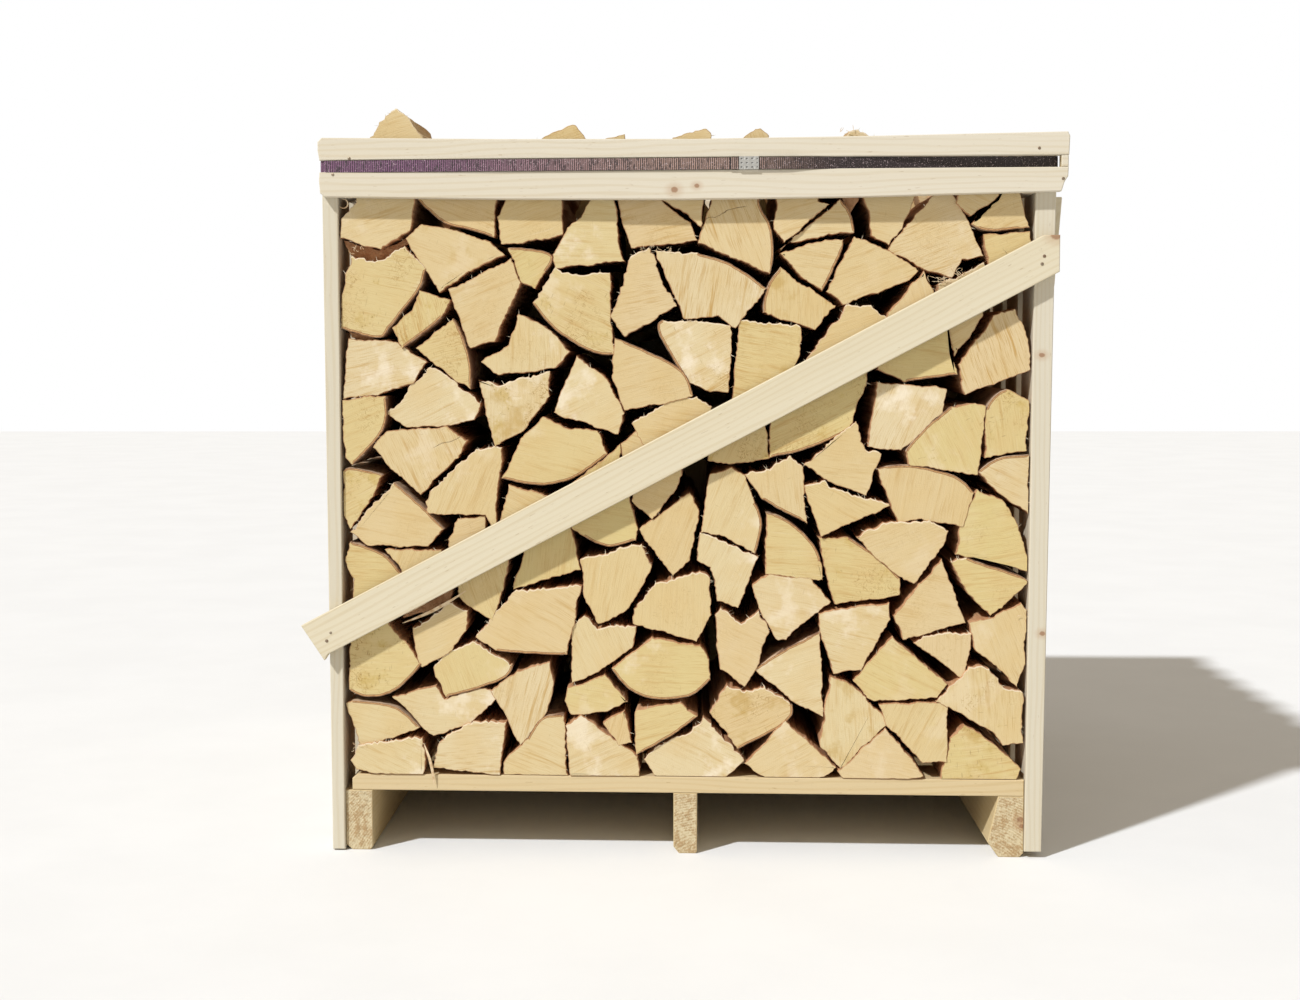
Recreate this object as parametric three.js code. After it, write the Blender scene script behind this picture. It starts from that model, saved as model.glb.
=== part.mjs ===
// Firewood crate: a slatted softwood crate on three bearers, filled with split logs and held by a strap.
// Millimetres, +X to the right, +Y to the back, +Z up.
// The origin is on the floor, midway between the side walls and midway from front to back.
import * as THREE from 'three';

// Overall sizes
const DEPTH = 1000;            // front face of the front slats to back face of the back slats
const FRONT = -DEPTH / 2;      // plane of the slats' front faces
const BACK = DEPTH / 2;
const CLEAR = 0.3;             // air left between pieces that touch
const EASE = 1.2;              // sawn edges are broken by this much

// Bearers and deck
const BEARER_HEIGHT = 90;
const BEARER_SETBACK = 6;      // bearers and deck stand back from the slats' front faces
const DECK_THICKNESS = 24;
const DECK_BOARD_WIDTH = 92;
const DECK_BOARDS = 7;
const DECK_TOP = BEARER_HEIGHT + CLEAR + DECK_THICKNESS;

// Side walls: the slats are sawn a little thinner at the foot
const SLATS = 8;
const SLAT_WIDTH = 88;
const SLAT_TOP = 1044;
const LEFT_SLAT = { foot: 2, inner: [-501.5, -501.5], outer: [-520, -525] };
const RIGHT_SLAT = { foot: 10, inner: [497.5, 501.5], outer: [522, 531] };

// Rails, with the strap channel between the two
const BOARD_THICKNESS = 18;
const LOWER_RAIL = [963.5, 998.5];
const UPPER_RAIL = [1015.5, 1048];
const CHANNEL_BLOCK = [533.5, 543.5];

// Strap and seal
const STRAP_WIDTH = 16;
const STRAP_THICKNESS = 1;
const STRAP_BOTTOM = (LOWER_RAIL[1] + UPPER_RAIL[0] - STRAP_WIDTH) / 2;
const SEAL_LEFT = 79;
const SEAL_LENGTH = 28;
const SEAL_WALL = 0.9;

// Firewood, three ranks of logs one behind the other
const RANKS = 3;
const RANK_LENGTH = 328;
const RANK_PITCH = (DEPTH - 4 - RANK_LENGTH) / (RANKS - 1);

const PALETTE = {
  rail: [0xe6dcc3, 0.75],
  slat: [0xe3dccb, 0.8],
  brace: [0xe8d9b4, 0.75],
  bearer: [0xd8c08e, 0.85],
  deck: [0xe0d2ab, 0.8],
  wood: [0xdfc48e, 0.8],
  strap: [0x3c3144, 0.45],
  steel: [0xa9a8a4, 0.4],
};

const crate = new THREE.Group();
crate.name = 'firewood_crate';

function add(name, geometry, finish) {
  const [color, roughness] = PALETTE[finish];
  const metalness = finish === 'steel' ? 0.9 : 0;
  const mesh = new THREE.Mesh(geometry, new THREE.MeshStandardMaterial({ color, roughness, metalness }));
  mesh.name = name;
  crate.add(mesh);
}

function shapeOf(points) {
  return new THREE.Shape(points.map(([u, v]) => new THREE.Vector2(u, v)));
}

function prism(points, length, ease) {
  return new THREE.ExtrudeGeometry(shapeOf(points), {
    depth: length - 2 * ease,
    bevelEnabled: ease > 0,
    bevelThickness: ease,
    bevelSize: ease,
    bevelOffset: -ease,
    bevelSegments: 1,
    steps: 1,
  }).translate(0, 0, ease);
}

// A piece whose outline is seen from the front, running back from y
function facing(points, y, length, ease = EASE) {
  return prism(points, length, ease).rotateX(Math.PI / 2).translate(0, y + length, 0);
}

// A piece whose outline is seen from the side, running to the right from x
function sideways(points, x, thickness) {
  return prism(points, thickness, EASE)
    .applyMatrix4(new THREE.Matrix4().set(0, 0, 1, x, 1, 0, 0, 0, 0, 1, 0, 0, 0, 0, 0, 1));
}

function rectangle(u0, v0, u1, v1) {
  return [[u0, v0], [u1, v0], [u1, v1], [u0, v1]];
}

// Leans a piece sideways so that it follows the outer face of a side wall
function lean(geometry, slope) {
  return geometry.applyMatrix4(new THREE.Matrix4().set(1, 0, slope, 0, 0, 1, 0, 0, 0, 0, 1, 0, 0, 0, 0, 1));
}

// Bearers: sawn battens on edge, the right one with a waney lower corner
const bearerFront = FRONT + BEARER_SETBACK;
const bearerLength = DEPTH - 2 * BEARER_SETBACK;
const bearerOutlines = {
  left: [[-501.2, 8], [-492, 0], [-465, 0], [-461, 5], [-461, BEARER_HEIGHT], [-501.2, BEARER_HEIGHT]],
  centre: [[-14, 10], [-6, 0], [19, 0], [21, 3], [21, BEARER_HEIGHT], [-14, BEARER_HEIGHT]],
  right: [[445, 22], [461, 0], [491, 0], [497.2, 6], [497.2, BEARER_HEIGHT], [460, BEARER_HEIGHT]],
};
for (const [side, outline] of Object.entries(bearerOutlines)) {
  add(`bearer_${side}`, facing(outline, bearerFront, bearerLength), 'bearer');
}

// Deck boards lie across the bearers; the front one is short at the left and has a rounded corner there
const deckBottom = BEARER_HEIGHT + CLEAR;
const deckPitch = (bearerLength - DECK_BOARD_WIDTH) / (DECK_BOARDS - 1);
for (let i = 0; i < DECK_BOARDS; i++) {
  const left = i === 0 ? -491 : -500;
  const outline = [[left, deckBottom], [497, deckBottom], [497, DECK_TOP], [left + 8, DECK_TOP], [left, DECK_TOP - 7]];
  add(`deck_board_${i + 1}`, facing(outline, bearerFront + i * deckPitch, DECK_BOARD_WIDTH), 'deck');
}

// Side walls: rows of upright slats nailed to the outer bearers
const slatPitch = (DEPTH - SLAT_WIDTH) / (SLATS - 1);
for (const [side, slat] of [['left', LEFT_SLAT], ['right', RIGHT_SLAT]]) {
  const outline = [
    [slat.inner[0], slat.foot],
    [slat.outer[0], slat.foot],
    [slat.outer[1], SLAT_TOP],
    [slat.inner[1], SLAT_TOP],
  ];
  if (side === 'left') outline.reverse();
  for (let i = 0; i < SLATS; i++) {
    add(`slat_${side}_${i + 1}`, facing(outline, FRONT + i * slatPitch, SLAT_WIDTH), 'slat');
  }
}

// Inner side rails tie the tops of the slats together
const railLevels = [['lower', LOWER_RAIL], ['upper', [UPPER_RAIL[0], SLAT_TOP]]];
for (const [level, [bottom, top]] of railLevels) {
  const run = rectangle(FRONT + 4, bottom, BACK - 4, top);
  add(`side_rail_left_${level}`, sideways(run, -501.2, BOARD_THICKNESS), 'rail');
  add(`side_rail_right_${level}`, sideways(run, 500.8 - BOARD_THICKNESS, BOARD_THICKNESS), 'rail');
}

// Front and back rails, a little bowed along their length
const frontPlane = FRONT - CLEAR - BOARD_THICKNESS;
const backPlane = BACK + CLEAR;
const [lowerBottom, lowerTop] = LOWER_RAIL;
const [upperBottom, upperTop] = UPPER_RAIL;
const upperOutline = [
  [-524.5, upperBottom], [544, upperBottom], [545, upperTop - 6], [542, upperTop],
  [260, upperTop - 4], [20, upperTop - 6], [-260, upperTop - 4], [-521, upperTop],
  [-527, upperTop - 6], [-527, upperBottom + 14],
];
const lowerOutline = [
  [-518, lowerBottom], [-260, lowerBottom - 5], [10, lowerBottom - 7], [260, lowerBottom - 5],
  [534, lowerBottom + 1], [538, lowerBottom + 14], [543, lowerBottom + 22], [543.5, lowerTop],
  [-524.5, lowerTop], [-525.5, lowerTop - 12], [-524, lowerBottom + 5],
];
for (const [wall, y] of [['front', frontPlane], ['back', backPlane]]) {
  add(`${wall}_rail_upper`, facing(upperOutline, y, BOARD_THICKNESS), 'rail');
  add(`${wall}_rail_lower`, facing(lowerOutline, y, BOARD_THICKNESS), 'rail');
}

// Block that closes the right end of the strap channel
const block = rectangle(CHANNEL_BLOCK[0], lowerTop + CLEAR, CHANNEL_BLOCK[1], upperBottom - CLEAR);
add('rail_block', facing(block, frontPlane + 0.6, BOARD_THICKNESS - 0.6), 'rail');

// Diagonal braces
const frontBrace = [[-560, 339], [-526, 288], [-520, 297.5], [533, 851], [533, 903], [511, 903]];
add('front_brace', facing(frontBrace, frontPlane, BOARD_THICKNESS), 'brace');
const backBrace = [[-540, 852], [520, 296], [540, 345], [-512, 905], [-540, 905]];
add('back_brace', facing(backBrace, backPlane, BOARD_THICKNESS), 'brace');

const leftSlope = (LEFT_SLAT.outer[1] - LEFT_SLAT.outer[0]) / (SLAT_TOP - LEFT_SLAT.foot);
const leftBrace = [[-385, 215], [-350, 165], [455, 865], [455, 945]];
add('left_brace', lean(sideways(leftBrace, -520 - CLEAR - BOARD_THICKNESS, BOARD_THICKNESS), leftSlope), 'brace');

const rightSlope = (RIGHT_SLAT.outer[1] - RIGHT_SLAT.outer[0]) / (SLAT_TOP - RIGHT_SLAT.foot);
const rightBrace = [[-450, 962], [-410, 835], [485, 83], [485, 174]];
add('right_brace', lean(sideways(rightBrace, 522 + CLEAR, BOARD_THICKNESS), rightSlope), 'brace');

// The strap is one long band: it starts inside the seal, runs round the crate and ends lapped over itself
const leftStrapX = -525.8;
const rightStrapX = 531.8;
const innerLayer = frontPlane - 2.1;
const outerLayer = innerLayer - STRAP_THICKNESS - CLEAR;
const bend = 1.2;
const strapPath = [[125, innerLayer], [-250, innerLayer], [-440, frontPlane - 0.6], [-515, frontPlane + 1]];
function corner(x, y, from) {
  for (let i = 0; i <= 4; i++) {
    const angle = from - (i * Math.PI) / 8;
    strapPath.push([x + bend * Math.cos(angle), y + bend * Math.sin(angle)]);
  }
}
strapPath.push([-523, frontPlane + 6], [leftStrapX, frontPlane + 18], [leftStrapX, FRONT + 40]);
corner(leftStrapX + bend, BACK + 0.9 - bend, Math.PI);
corner(rightStrapX - bend, BACK + 0.9 - bend, Math.PI / 2);
strapPath.push([rightStrapX, FRONT + 6], [531, FRONT - 1.6], [519, FRONT - 3], [400, FRONT - 6]);
strapPath.push([210, frontPlane + 1], [150, outerLayer], [66, outerLayer]);

function bandOutline(path, thickness) {
  const near = [];
  const far = [];
  path.forEach(([x, y], i) => {
    const before = path[Math.max(i - 1, 0)];
    const after = path[Math.min(i + 1, path.length - 1)];
    const inbound = new THREE.Vector2(x - before[0], y - before[1]).normalize();
    const outbound = new THREE.Vector2(after[0] - x, after[1] - y).normalize();
    const along = inbound.clone().add(outbound).normalize();
    const reference = inbound.lengthSq() > 0 ? inbound : outbound;
    const offset = thickness / 2 / Math.max(along.dot(reference), 0.5);
    near.push([x - along.y * offset, y + along.x * offset]);
    far.push([x + along.y * offset, y - along.x * offset]);
  });
  return near.concat(far.reverse());
}
const strapOutline = bandOutline(strapPath, STRAP_THICKNESS);
add('strap', prism(strapOutline, STRAP_WIDTH, 0).translate(0, 0, STRAP_BOTTOM), 'strap');

// The seal is a folded steel sleeve round both layers of the strap
const sealHole = [
  outerLayer - STRAP_THICKNESS / 2 - CLEAR, STRAP_BOTTOM - CLEAR,
  innerLayer + STRAP_THICKNESS / 2 + CLEAR, STRAP_BOTTOM + STRAP_WIDTH + CLEAR,
];
const sealShape = shapeOf(rectangle(
  sealHole[0] - SEAL_WALL, sealHole[1] - SEAL_WALL, sealHole[2] + SEAL_WALL, sealHole[3] + SEAL_WALL,
));
sealShape.holes.push(shapeOf(rectangle(...sealHole)));
const seal = new THREE.ExtrudeGeometry(sealShape, { depth: SEAL_LENGTH, bevelEnabled: false, steps: 1 });
seal.applyMatrix4(new THREE.Matrix4().set(0, 0, 1, SEAL_LEFT, 1, 0, 0, 0, 0, 1, 0, 0, 0, 0, 0, 1));
add('strap_seal', seal, 'steel');

// Firewood: one solid a rank, its top line running through the tips of the highest logs
const frontTips = [
  [495, 945], [480, 958], [480, 1000], [275, 1028], [238, 1053], [200, 1035], [135, 1032], [102, 1057], [65, 1036],
  [31, 1057], [-30, 1032], [-84, 1048], [-125, 1040], [-163, 1066], [-205, 1036], [-345, 1032], [-367, 1050],
  [-417, 1094], [-455, 1050], [-480, 1000], [-480, 958], [-499, 945],
];
for (let rank = 0; rank < RANKS; rank++) {
  const tips = rank === 1 ? frontTips.map(([x, z]) => [-x - 2, z]).reverse() : frontTips;
  const outline = [[-499, DECK_TOP + CLEAR], [496.5, DECK_TOP + CLEAR]].concat(tips);
  const y = FRONT + 2 + rank * RANK_PITCH;
  add(`firewood_rank_${rank + 1}`, facing(outline, y, RANK_LENGTH, 0), 'wood');
}

export default crate;
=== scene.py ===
"""Firewood crate: a slatted softwood crate on three bearers, packed with split birch logs in three ranks.

Every size is in metres unless a comment says otherwise. The crate's front faces -Y and it stands on z = 0.
"""
import math
import random

import bpy
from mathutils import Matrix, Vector, noise


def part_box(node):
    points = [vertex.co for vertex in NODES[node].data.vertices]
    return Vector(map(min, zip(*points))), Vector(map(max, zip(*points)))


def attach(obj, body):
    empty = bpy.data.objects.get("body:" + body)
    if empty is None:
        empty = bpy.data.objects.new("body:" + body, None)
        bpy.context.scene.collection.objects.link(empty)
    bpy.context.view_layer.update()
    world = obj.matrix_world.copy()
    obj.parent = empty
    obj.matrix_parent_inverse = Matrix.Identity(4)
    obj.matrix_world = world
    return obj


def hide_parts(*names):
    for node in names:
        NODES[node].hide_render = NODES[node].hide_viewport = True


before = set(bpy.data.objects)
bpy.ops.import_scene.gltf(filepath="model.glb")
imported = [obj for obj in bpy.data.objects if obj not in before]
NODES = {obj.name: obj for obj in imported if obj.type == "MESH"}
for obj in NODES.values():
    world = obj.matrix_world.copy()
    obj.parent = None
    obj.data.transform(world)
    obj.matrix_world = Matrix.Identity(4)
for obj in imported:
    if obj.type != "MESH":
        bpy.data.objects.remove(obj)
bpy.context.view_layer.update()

bl_info = {
    "name": "Firewood crate",
    "version": (1, 0, 0),
    "blender": (4, 5, 0),
    "location": "View3D > Sidebar > Crate",
    "description": "Builds a slatted crate packed with split firewood",
    "category": "Add Mesh",
}

MM = 0.001
FRONT_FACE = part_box("front_rail_lower")[0].y     # outer face of the front rails and brace
BACK_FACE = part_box("back_rail_lower")[1].y
LOAD_FLOOR = 0.115              # height of the lowest logs' undersides, just over the deck
LOAD_REACH = 0.4975             # how far to the right the logs reach between the slats
LOAD_REACH_TOP = 0.4815         # and between the side rails
SIDE_RAIL_UNDERSIDE = 0.957
LEFT_EXTRA = 0.002              # how much further they reach to the left
STRAP_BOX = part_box("strap")
SEAL_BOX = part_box("strap_seal")

# ---------------------------------------------------------------- log ends
# One log a line, course by course from the top: name, then the corners of its end as x,z in millimetres.
# "b" after a corner means that the side from it to the next corner is the round, bark side.
# An indented line goes on with the log above it. After a colon stand the log's marks: y yellowish, p pinkish,
# l light, d dirty, k dark-hearted, c cracked, s heavy saw marks, f torn fibres, w white bark, u set back.
LOG_ENDS = """
A1:pcf -478,958 -474,1015 -456,1048 -424,1090 -417,1094 -407,1088 -385,1066 -370,1046 -385,1000
  -390,960 -395,915 -440,890 -500,905 -498,935
A0:u -497,902 -445,889 -414,903 -401,909 -399,903 -406,896 -445,871 -489,881
A8t:u 214,990 229,957 240,936 253,958 224,1003 226,1046 196,1034 208,992
A2:p -385,960 -372,1020b -330,1044b -268,1030 -270,960 -275,905b -305,915b -345,925b -370,945b
A3:p -255,960 -258,1010 -235,1038 -205,1047 -163,1066 -156,1066 -138,1046 -165,1000 -175,960
  -175,910 -205,900 -265,895 -270,935
A4:yl -135,960 -140,1000 -118,1044 -85,1052 -88,1000 -100,960 -95,935 -95,900 -85,870 -135,865
  -185,860 -190,880 -170,915 -150,935
A5:p -95,955 -80,1020 -62,1040 -52,1000 -30,955 10,925 20,900 -10,895 -75,890 -85,915
A5b:p -28,957 -45,1000 -15,1046 25,1058 33,1060 42,1050 38,1000 30,955 25,920
A6:psc 40,955 50,1000 75,1040 92,1052 103,1060 110,1059 122,1048 118,1000b 110,955b 125,920b
  130,880b 125,850 90,865 20,895 25,915
A7:p 135,955 130,1000b 150,1042b 190,1030 205,990 195,955 210,950 145,895 130,915
A8:l 225,957b 245,910 205,905 150,895
A9:pf 255,960 226,1005 228,1048 240,1056 250,1056 264,1048 300,1040 335,1000 330,960 325,935 295,890
  270,905 265,935
A10:ps 330,935 372,975 380,975 410,920 430,875 400,870 385,845 350,855 295,885
A11:p 390,960 392,1010b 430,1040b 462,1000 450,960 410,930 390,950
A12:p 450,960 470,1034 480,1000 480,962 495,915b 440,910b 410,920
A13:yc 430,905 495,910 496,868 436,836 435,865
B1:ysdf -485,880 -445,870 -405,895 -375,860b -385,830b -425,780b -445,760b -500,775 -498,825
B0:u -498,772 -450,760 -430,757 -446,752 -488,761
B2:pk -380,925 -345,920 -310,910 -280,900 -260,880 -305,860 -355,825 -405,905
B3:p -340,830 -250,875 -235,840 -275,755 -310,745 -330,795
B4:yk -255,890b -230,890b -190,880b -200,855 -215,830 -235,840
B5:ysdf -185,860 -160,850 -105,855 -105,805 -100,735b -135,740b -185,770b -220,810
B6:pf -50,890 -10,805 -85,760 -105,790 -80,875
B7:lsf -40,885 -5,885 20,880b 70,865b 120,830 75,775 50,790 0,785 -20,835
B8:p 140,880 200,900 230,900b 225,875b 200,825 170,845
B9:pk 140,860 175,835 220,805 190,770 115,795b
B10:p 245,905 290,885 340,855 325,840 230,805 205,825 230,875
B11:p 345,855 358,826 363,798 290,760 295,795
B12:lf 365,835 390,845 430,865 440,855 428,832 368,801
B13:pf 235,805 270,805 295,785 288,757 160,692 175,725
C1:yds -385,830 -340,815 -350,790b -375,770b -410,745 -425,775 -395,800
C2:yds -335,790b -320,760b -310,720b -310,685 -335,700 -390,745 -360,770
C3:ls -490,760 -420,755 -375,725 -395,695 -455,675 -500,670
C4:l -240,795 -205,780 -165,740 -185,715 -270,705 -295,725 -255,750
C5:p -100,760b -40,735b 0,710b 15,675 5,670 -85,655 -105,705
C6:ldsf -30,785 70,780 70,735 65,680 35,680 5,695b -35,765b
C7:yksf 80,785 140,780 170,775 170,735 150,683 69,643 75,730
D1:y 280,712 278,746 378,800 380,765 395,705b 355,700b 320,695
D2:p 380,765 381,801 433,828 430,790 410,760 390,730
D3:ps 395,720 445,790 475,800 495,755 499,712 405,675
D4:l 280,695 380,685 375,650 315,595 265,600 275,660
E1:yd -500,670 -455,675 -435,675b -440,625b -485,575 -495,585 -500,630
E2:lf -370,720 -335,700 -295,660 -305,640 -340,630 -405,630 -435,650 -420,665
E3:ldkf -300,700 -265,695 -195,710 -195,675 -230,625 -275,600 -290,655
E4:l -155,735 -110,700 -95,670 -85,650 -95,620 -190,650 -180,675
E5a:pf -75,635 -10,675 20,675 42,660 40,626 -47,581
E5b:p -90,605 -65,625 -50,611 -50,580 -88,558
E6:pc -455,600 -435,625 -345,630 -315,610 -330,585 -360,555 -385,530 -420,560
E7:pf -300,600 -265,600 -270,535 -275,480 -290,500 -330,500 -375,505 -370,535 -330,575
E8:py -205,645 -170,630 -125,625 -110,590b -160,555b -210,545b -265,555 -240,610
E9:ydw -500,565b -485,570b -440,560 -465,510 -490,480 -498,500
E10:pf -425,550b -385,515b -350,480 -375,455 -465,455 -490,475
E11:p -255,545 -195,530 -195,500 -272,462 -270,490
E12:p -345,465 -330,495 -290,500 -285,456 -345,424
E13:y -500,435 -490,460b -445,445b -415,415 -416,386 -488,348 -485,405
E14:p -440,450 -355,450 -350,421 -412,389 -415,420
E15:y -175,540 -120,580 -92,604 -90,557 -172,514
F1:yd -492,340 -443,366 -432,338 -395,295 -385,280b -425,240b -465,230b -495,240
F2:pf -400,335 -360,355 -345,370 -315,360 -320,330 -340,300 -385,275 -395,300
F3:y -330,380 -335,423 -258,463 -255,435 -270,375 -280,345 -315,365
F4:y -250,395 -236,440 -236,475 -168,511 -165,480 -150,420 -250,390
F5:pf -305,320 -245,390 -150,395 -170,295b -210,295b -275,300
F6:pf -150,435 -60,460 -45,425 -80,360 -125,340 -145,380
F7:y -165,480 -160,515 -80,557 -76,520 -65,480 -70,465b -110,455b -145,470
F8:p -75,522 -76,560 -6,596 -3,560 -10,540 -45,495
F9:p -65,480 10,535 25,510 10,435 -15,410 -40,445
F10:pf -70,370 -40,400 25,420 40,410 40,355 20,315 0,320 -30,330 -75,340
F11:lf -165,335 -145,355 -125,335 -65,340 -75,305 -125,270 -165,250
F12:yf -370,275 -345,300 -310,315 -250,280b -270,255b -350,230 -355,235
F13:l -245,270 -195,285 -190,245 -200,210 -230,170 -240,160 -260,200 -285,240
F14:ly -105,275 -75,300 -45,320 25,310 40,290 40,260b 10,235b -40,230b -80,245b
F15:uk -415,345 -408,384 -342,418 -340,390 -345,370 -380,355
G1:l -500,220 -490,225b -425,215b -390,185 -475,150
G2:l -430,230 -365,247 -352,227 -300,243 -262,240 -278,224 -315,190 -370,170 -390,190
G3:lf -495,135 -480,155 -385,170 -380,150 -385,113 -425,113 -485,120
G4:lsf -370,140 -355,170 -310,195 -260,195 -270,113 -370,125
G5:l -265,135 -230,170b -210,200b -190,205b -175,205 -170,113 -265,113
G6:y -170,245 -115,265 -80,225 -115,210 -165,205 -175,225
G7:p -120,195 -85,215 -75,165 -95,160
G8:l -175,190 -150,205 -120,185 -65,145 -65,113 -165,113
G9:y -70,215 -5,225 20,205b -10,180b -70,145
G10:lf -60,140 25,195 30,205 90,140 60,113 -40,113
H1:l 40,560 70,570 90,560 105,520b 115,490b 105,445 60,470 25,475 30,515
H2:pf 90,560 125,570 155,590 175,575 175,530 180,490b 140,510b 115,525
H3:yd 125,590 124,666 267,741 265,690 240,625b 185,600b 125,585
H3b:yd 35,580 34,619 121,664 120,630 124,585 70,575
H4:pf 250,640 265,595 285,590 265,530 220,545 175,575
H5:yd 320,595b 345,625b 385,660 420,665 435,660 425,560 390,565 325,575
H6:yd 435,655b 465,685 498,670 495,595 435,585
H7:lw 425,565b 455,585b 499,590 499,505 460,530
H8:pf 175,545 205,550 245,530 275,525 300,520 300,515 200,470 185,510
H9:p 280,570b 325,575b 390,560b 420,535 405,485 375,490 345,495 310,490
H10:y 425,540 460,525 480,495 499,440 499,420 450,435 395,445 400,485
H11:pf 250,470 290,490 360,495 385,480 375,455 335,400 310,415 285,435
H12:y 120,505b 150,495b 185,465b 200,435 205,405 165,410 120,415
H13:yd 195,470 240,470b 285,440b 315,410 315,385 220,370
H14:lf 25,475 60,465 110,440 80,365 50,375 40,425 20,435
H15:l 100,400 125,415 185,410 215,375 150,320 135,320 115,355
H16:p 305,355 375,440 410,345 320,320
H17:yf 385,435 410,440b 485,415b 499,405 445,355 410,390
H18:l 195,360 300,375 300,350 260,275 220,270 200,320
H19:pf 45,355 55,365 85,345 110,360 125,330 110,280 90,250 55,275
H20:l 105,275b 150,305b 200,330 205,205 160,225
H21:y 245,260 305,325 385,255 370,235 275,230
H22:pf 335,315 360,330 420,330 410,260
H23:p 415,345 450,355 490,375 499,365 495,290 485,250 465,270 425,305
J1:kdf 65,250 90,240 120,250 160,225b 150,195b 80,155 40,210
J2:lk 215,265 245,255 300,200 230,125 200,165
J3:p 285,225 385,230 385,140 350,140 295,195
J4:pdf 365,230 415,280 445,280 465,250 494,245 494,170 465,165 450,185 390,220
J5:ydk 410,195 450,170 494,130 485,113 460,113 375,113 390,175
J6:p 150,200 225,130 200,113 120,113 90,135
J7:p 295,190 335,145 350,120 325,113 270,113 235,113 225,125
"""


# ---------------------------------------------------------------- settings
def _colour(name, description, default):
    return bpy.props.FloatVectorProperty(
        name=name, description=description, default=default, subtype="COLOR", size=3, min=0.0, max=1.0)


def _amount(name, description, default, unit="NONE"):
    return bpy.props.FloatProperty(name=name, description=description, default=default, unit=unit, min=0.0)


def _length(name, description, default):
    return _amount(name, description, default, "LENGTH")


class CrateBoards(bpy.types.PropertyGroup):
    """Colours of the sawn softwood"""
    slat: _colour("Slats", "Colour of the side slats", (0.57, 0.525, 0.42))
    rail: _colour("Rails", "Colour of the rails", (0.61, 0.56, 0.455))
    brace: _colour("Braces", "Colour of the diagonal braces", (0.61, 0.55, 0.41))
    deck: _colour("Deck", "Colour of the deck boards", (0.565, 0.45, 0.262))
    bearer: _colour("Bearers", "Colour of the bearers", (0.52, 0.41, 0.23))


class CrateFirewood(bpy.types.PropertyGroup):
    """Sizes and colours of the split logs"""
    end: _colour("Sawn ends", "Colour of the sawn log ends", (0.612, 0.502, 0.292))
    split: _colour("Split sides", "Colour of the split faces", (0.60, 0.43, 0.235))
    bark: _colour("Bark", "Colour of the outer bark", (0.38, 0.275, 0.185))
    setback: _length("Setback", "How far a log may stand back from the front of its rank", 0.005)
    gap: _length("Gap", "How much smaller than its place each log is", 0.0001)
    seed: bpy.props.IntProperty(name="Seed", description="Start of the random draws", default=17)


class CrateStrap(bpy.types.PropertyGroup):
    """Sizes and colours of the strap and seal"""
    rib_pitch: _length("Rib pitch", "Distance from one rib to the next", 0.0027)
    rib_height: _length("Rib height", "How far a rib stands proud", 0.00035)
    strap: _colour("Strap", "Colour of the plastic strap", (0.034, 0.022, 0.024))
    seal: _colour("Seal", "Colour of the steel seal", (0.60, 0.60, 0.575))


class CrateNails(bpy.types.PropertyGroup):
    """Size and colour of the nails"""
    head: _length("Head radius", "Radius of a nail's head", 0.0023)
    steel: _colour("Steel", "Colour of the nail heads", (0.36, 0.30, 0.22))


class CrateStage(bpy.types.PropertyGroup):
    """Light, floor and camera"""
    key: _amount("Key light", "Strength of the key light", 3.5)
    fill: _amount("Fill light", "Strength of the light all round", 0.48)
    floor: _colour("Floor", "Colour of the floor", (0.80, 0.815, 0.835))


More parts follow.
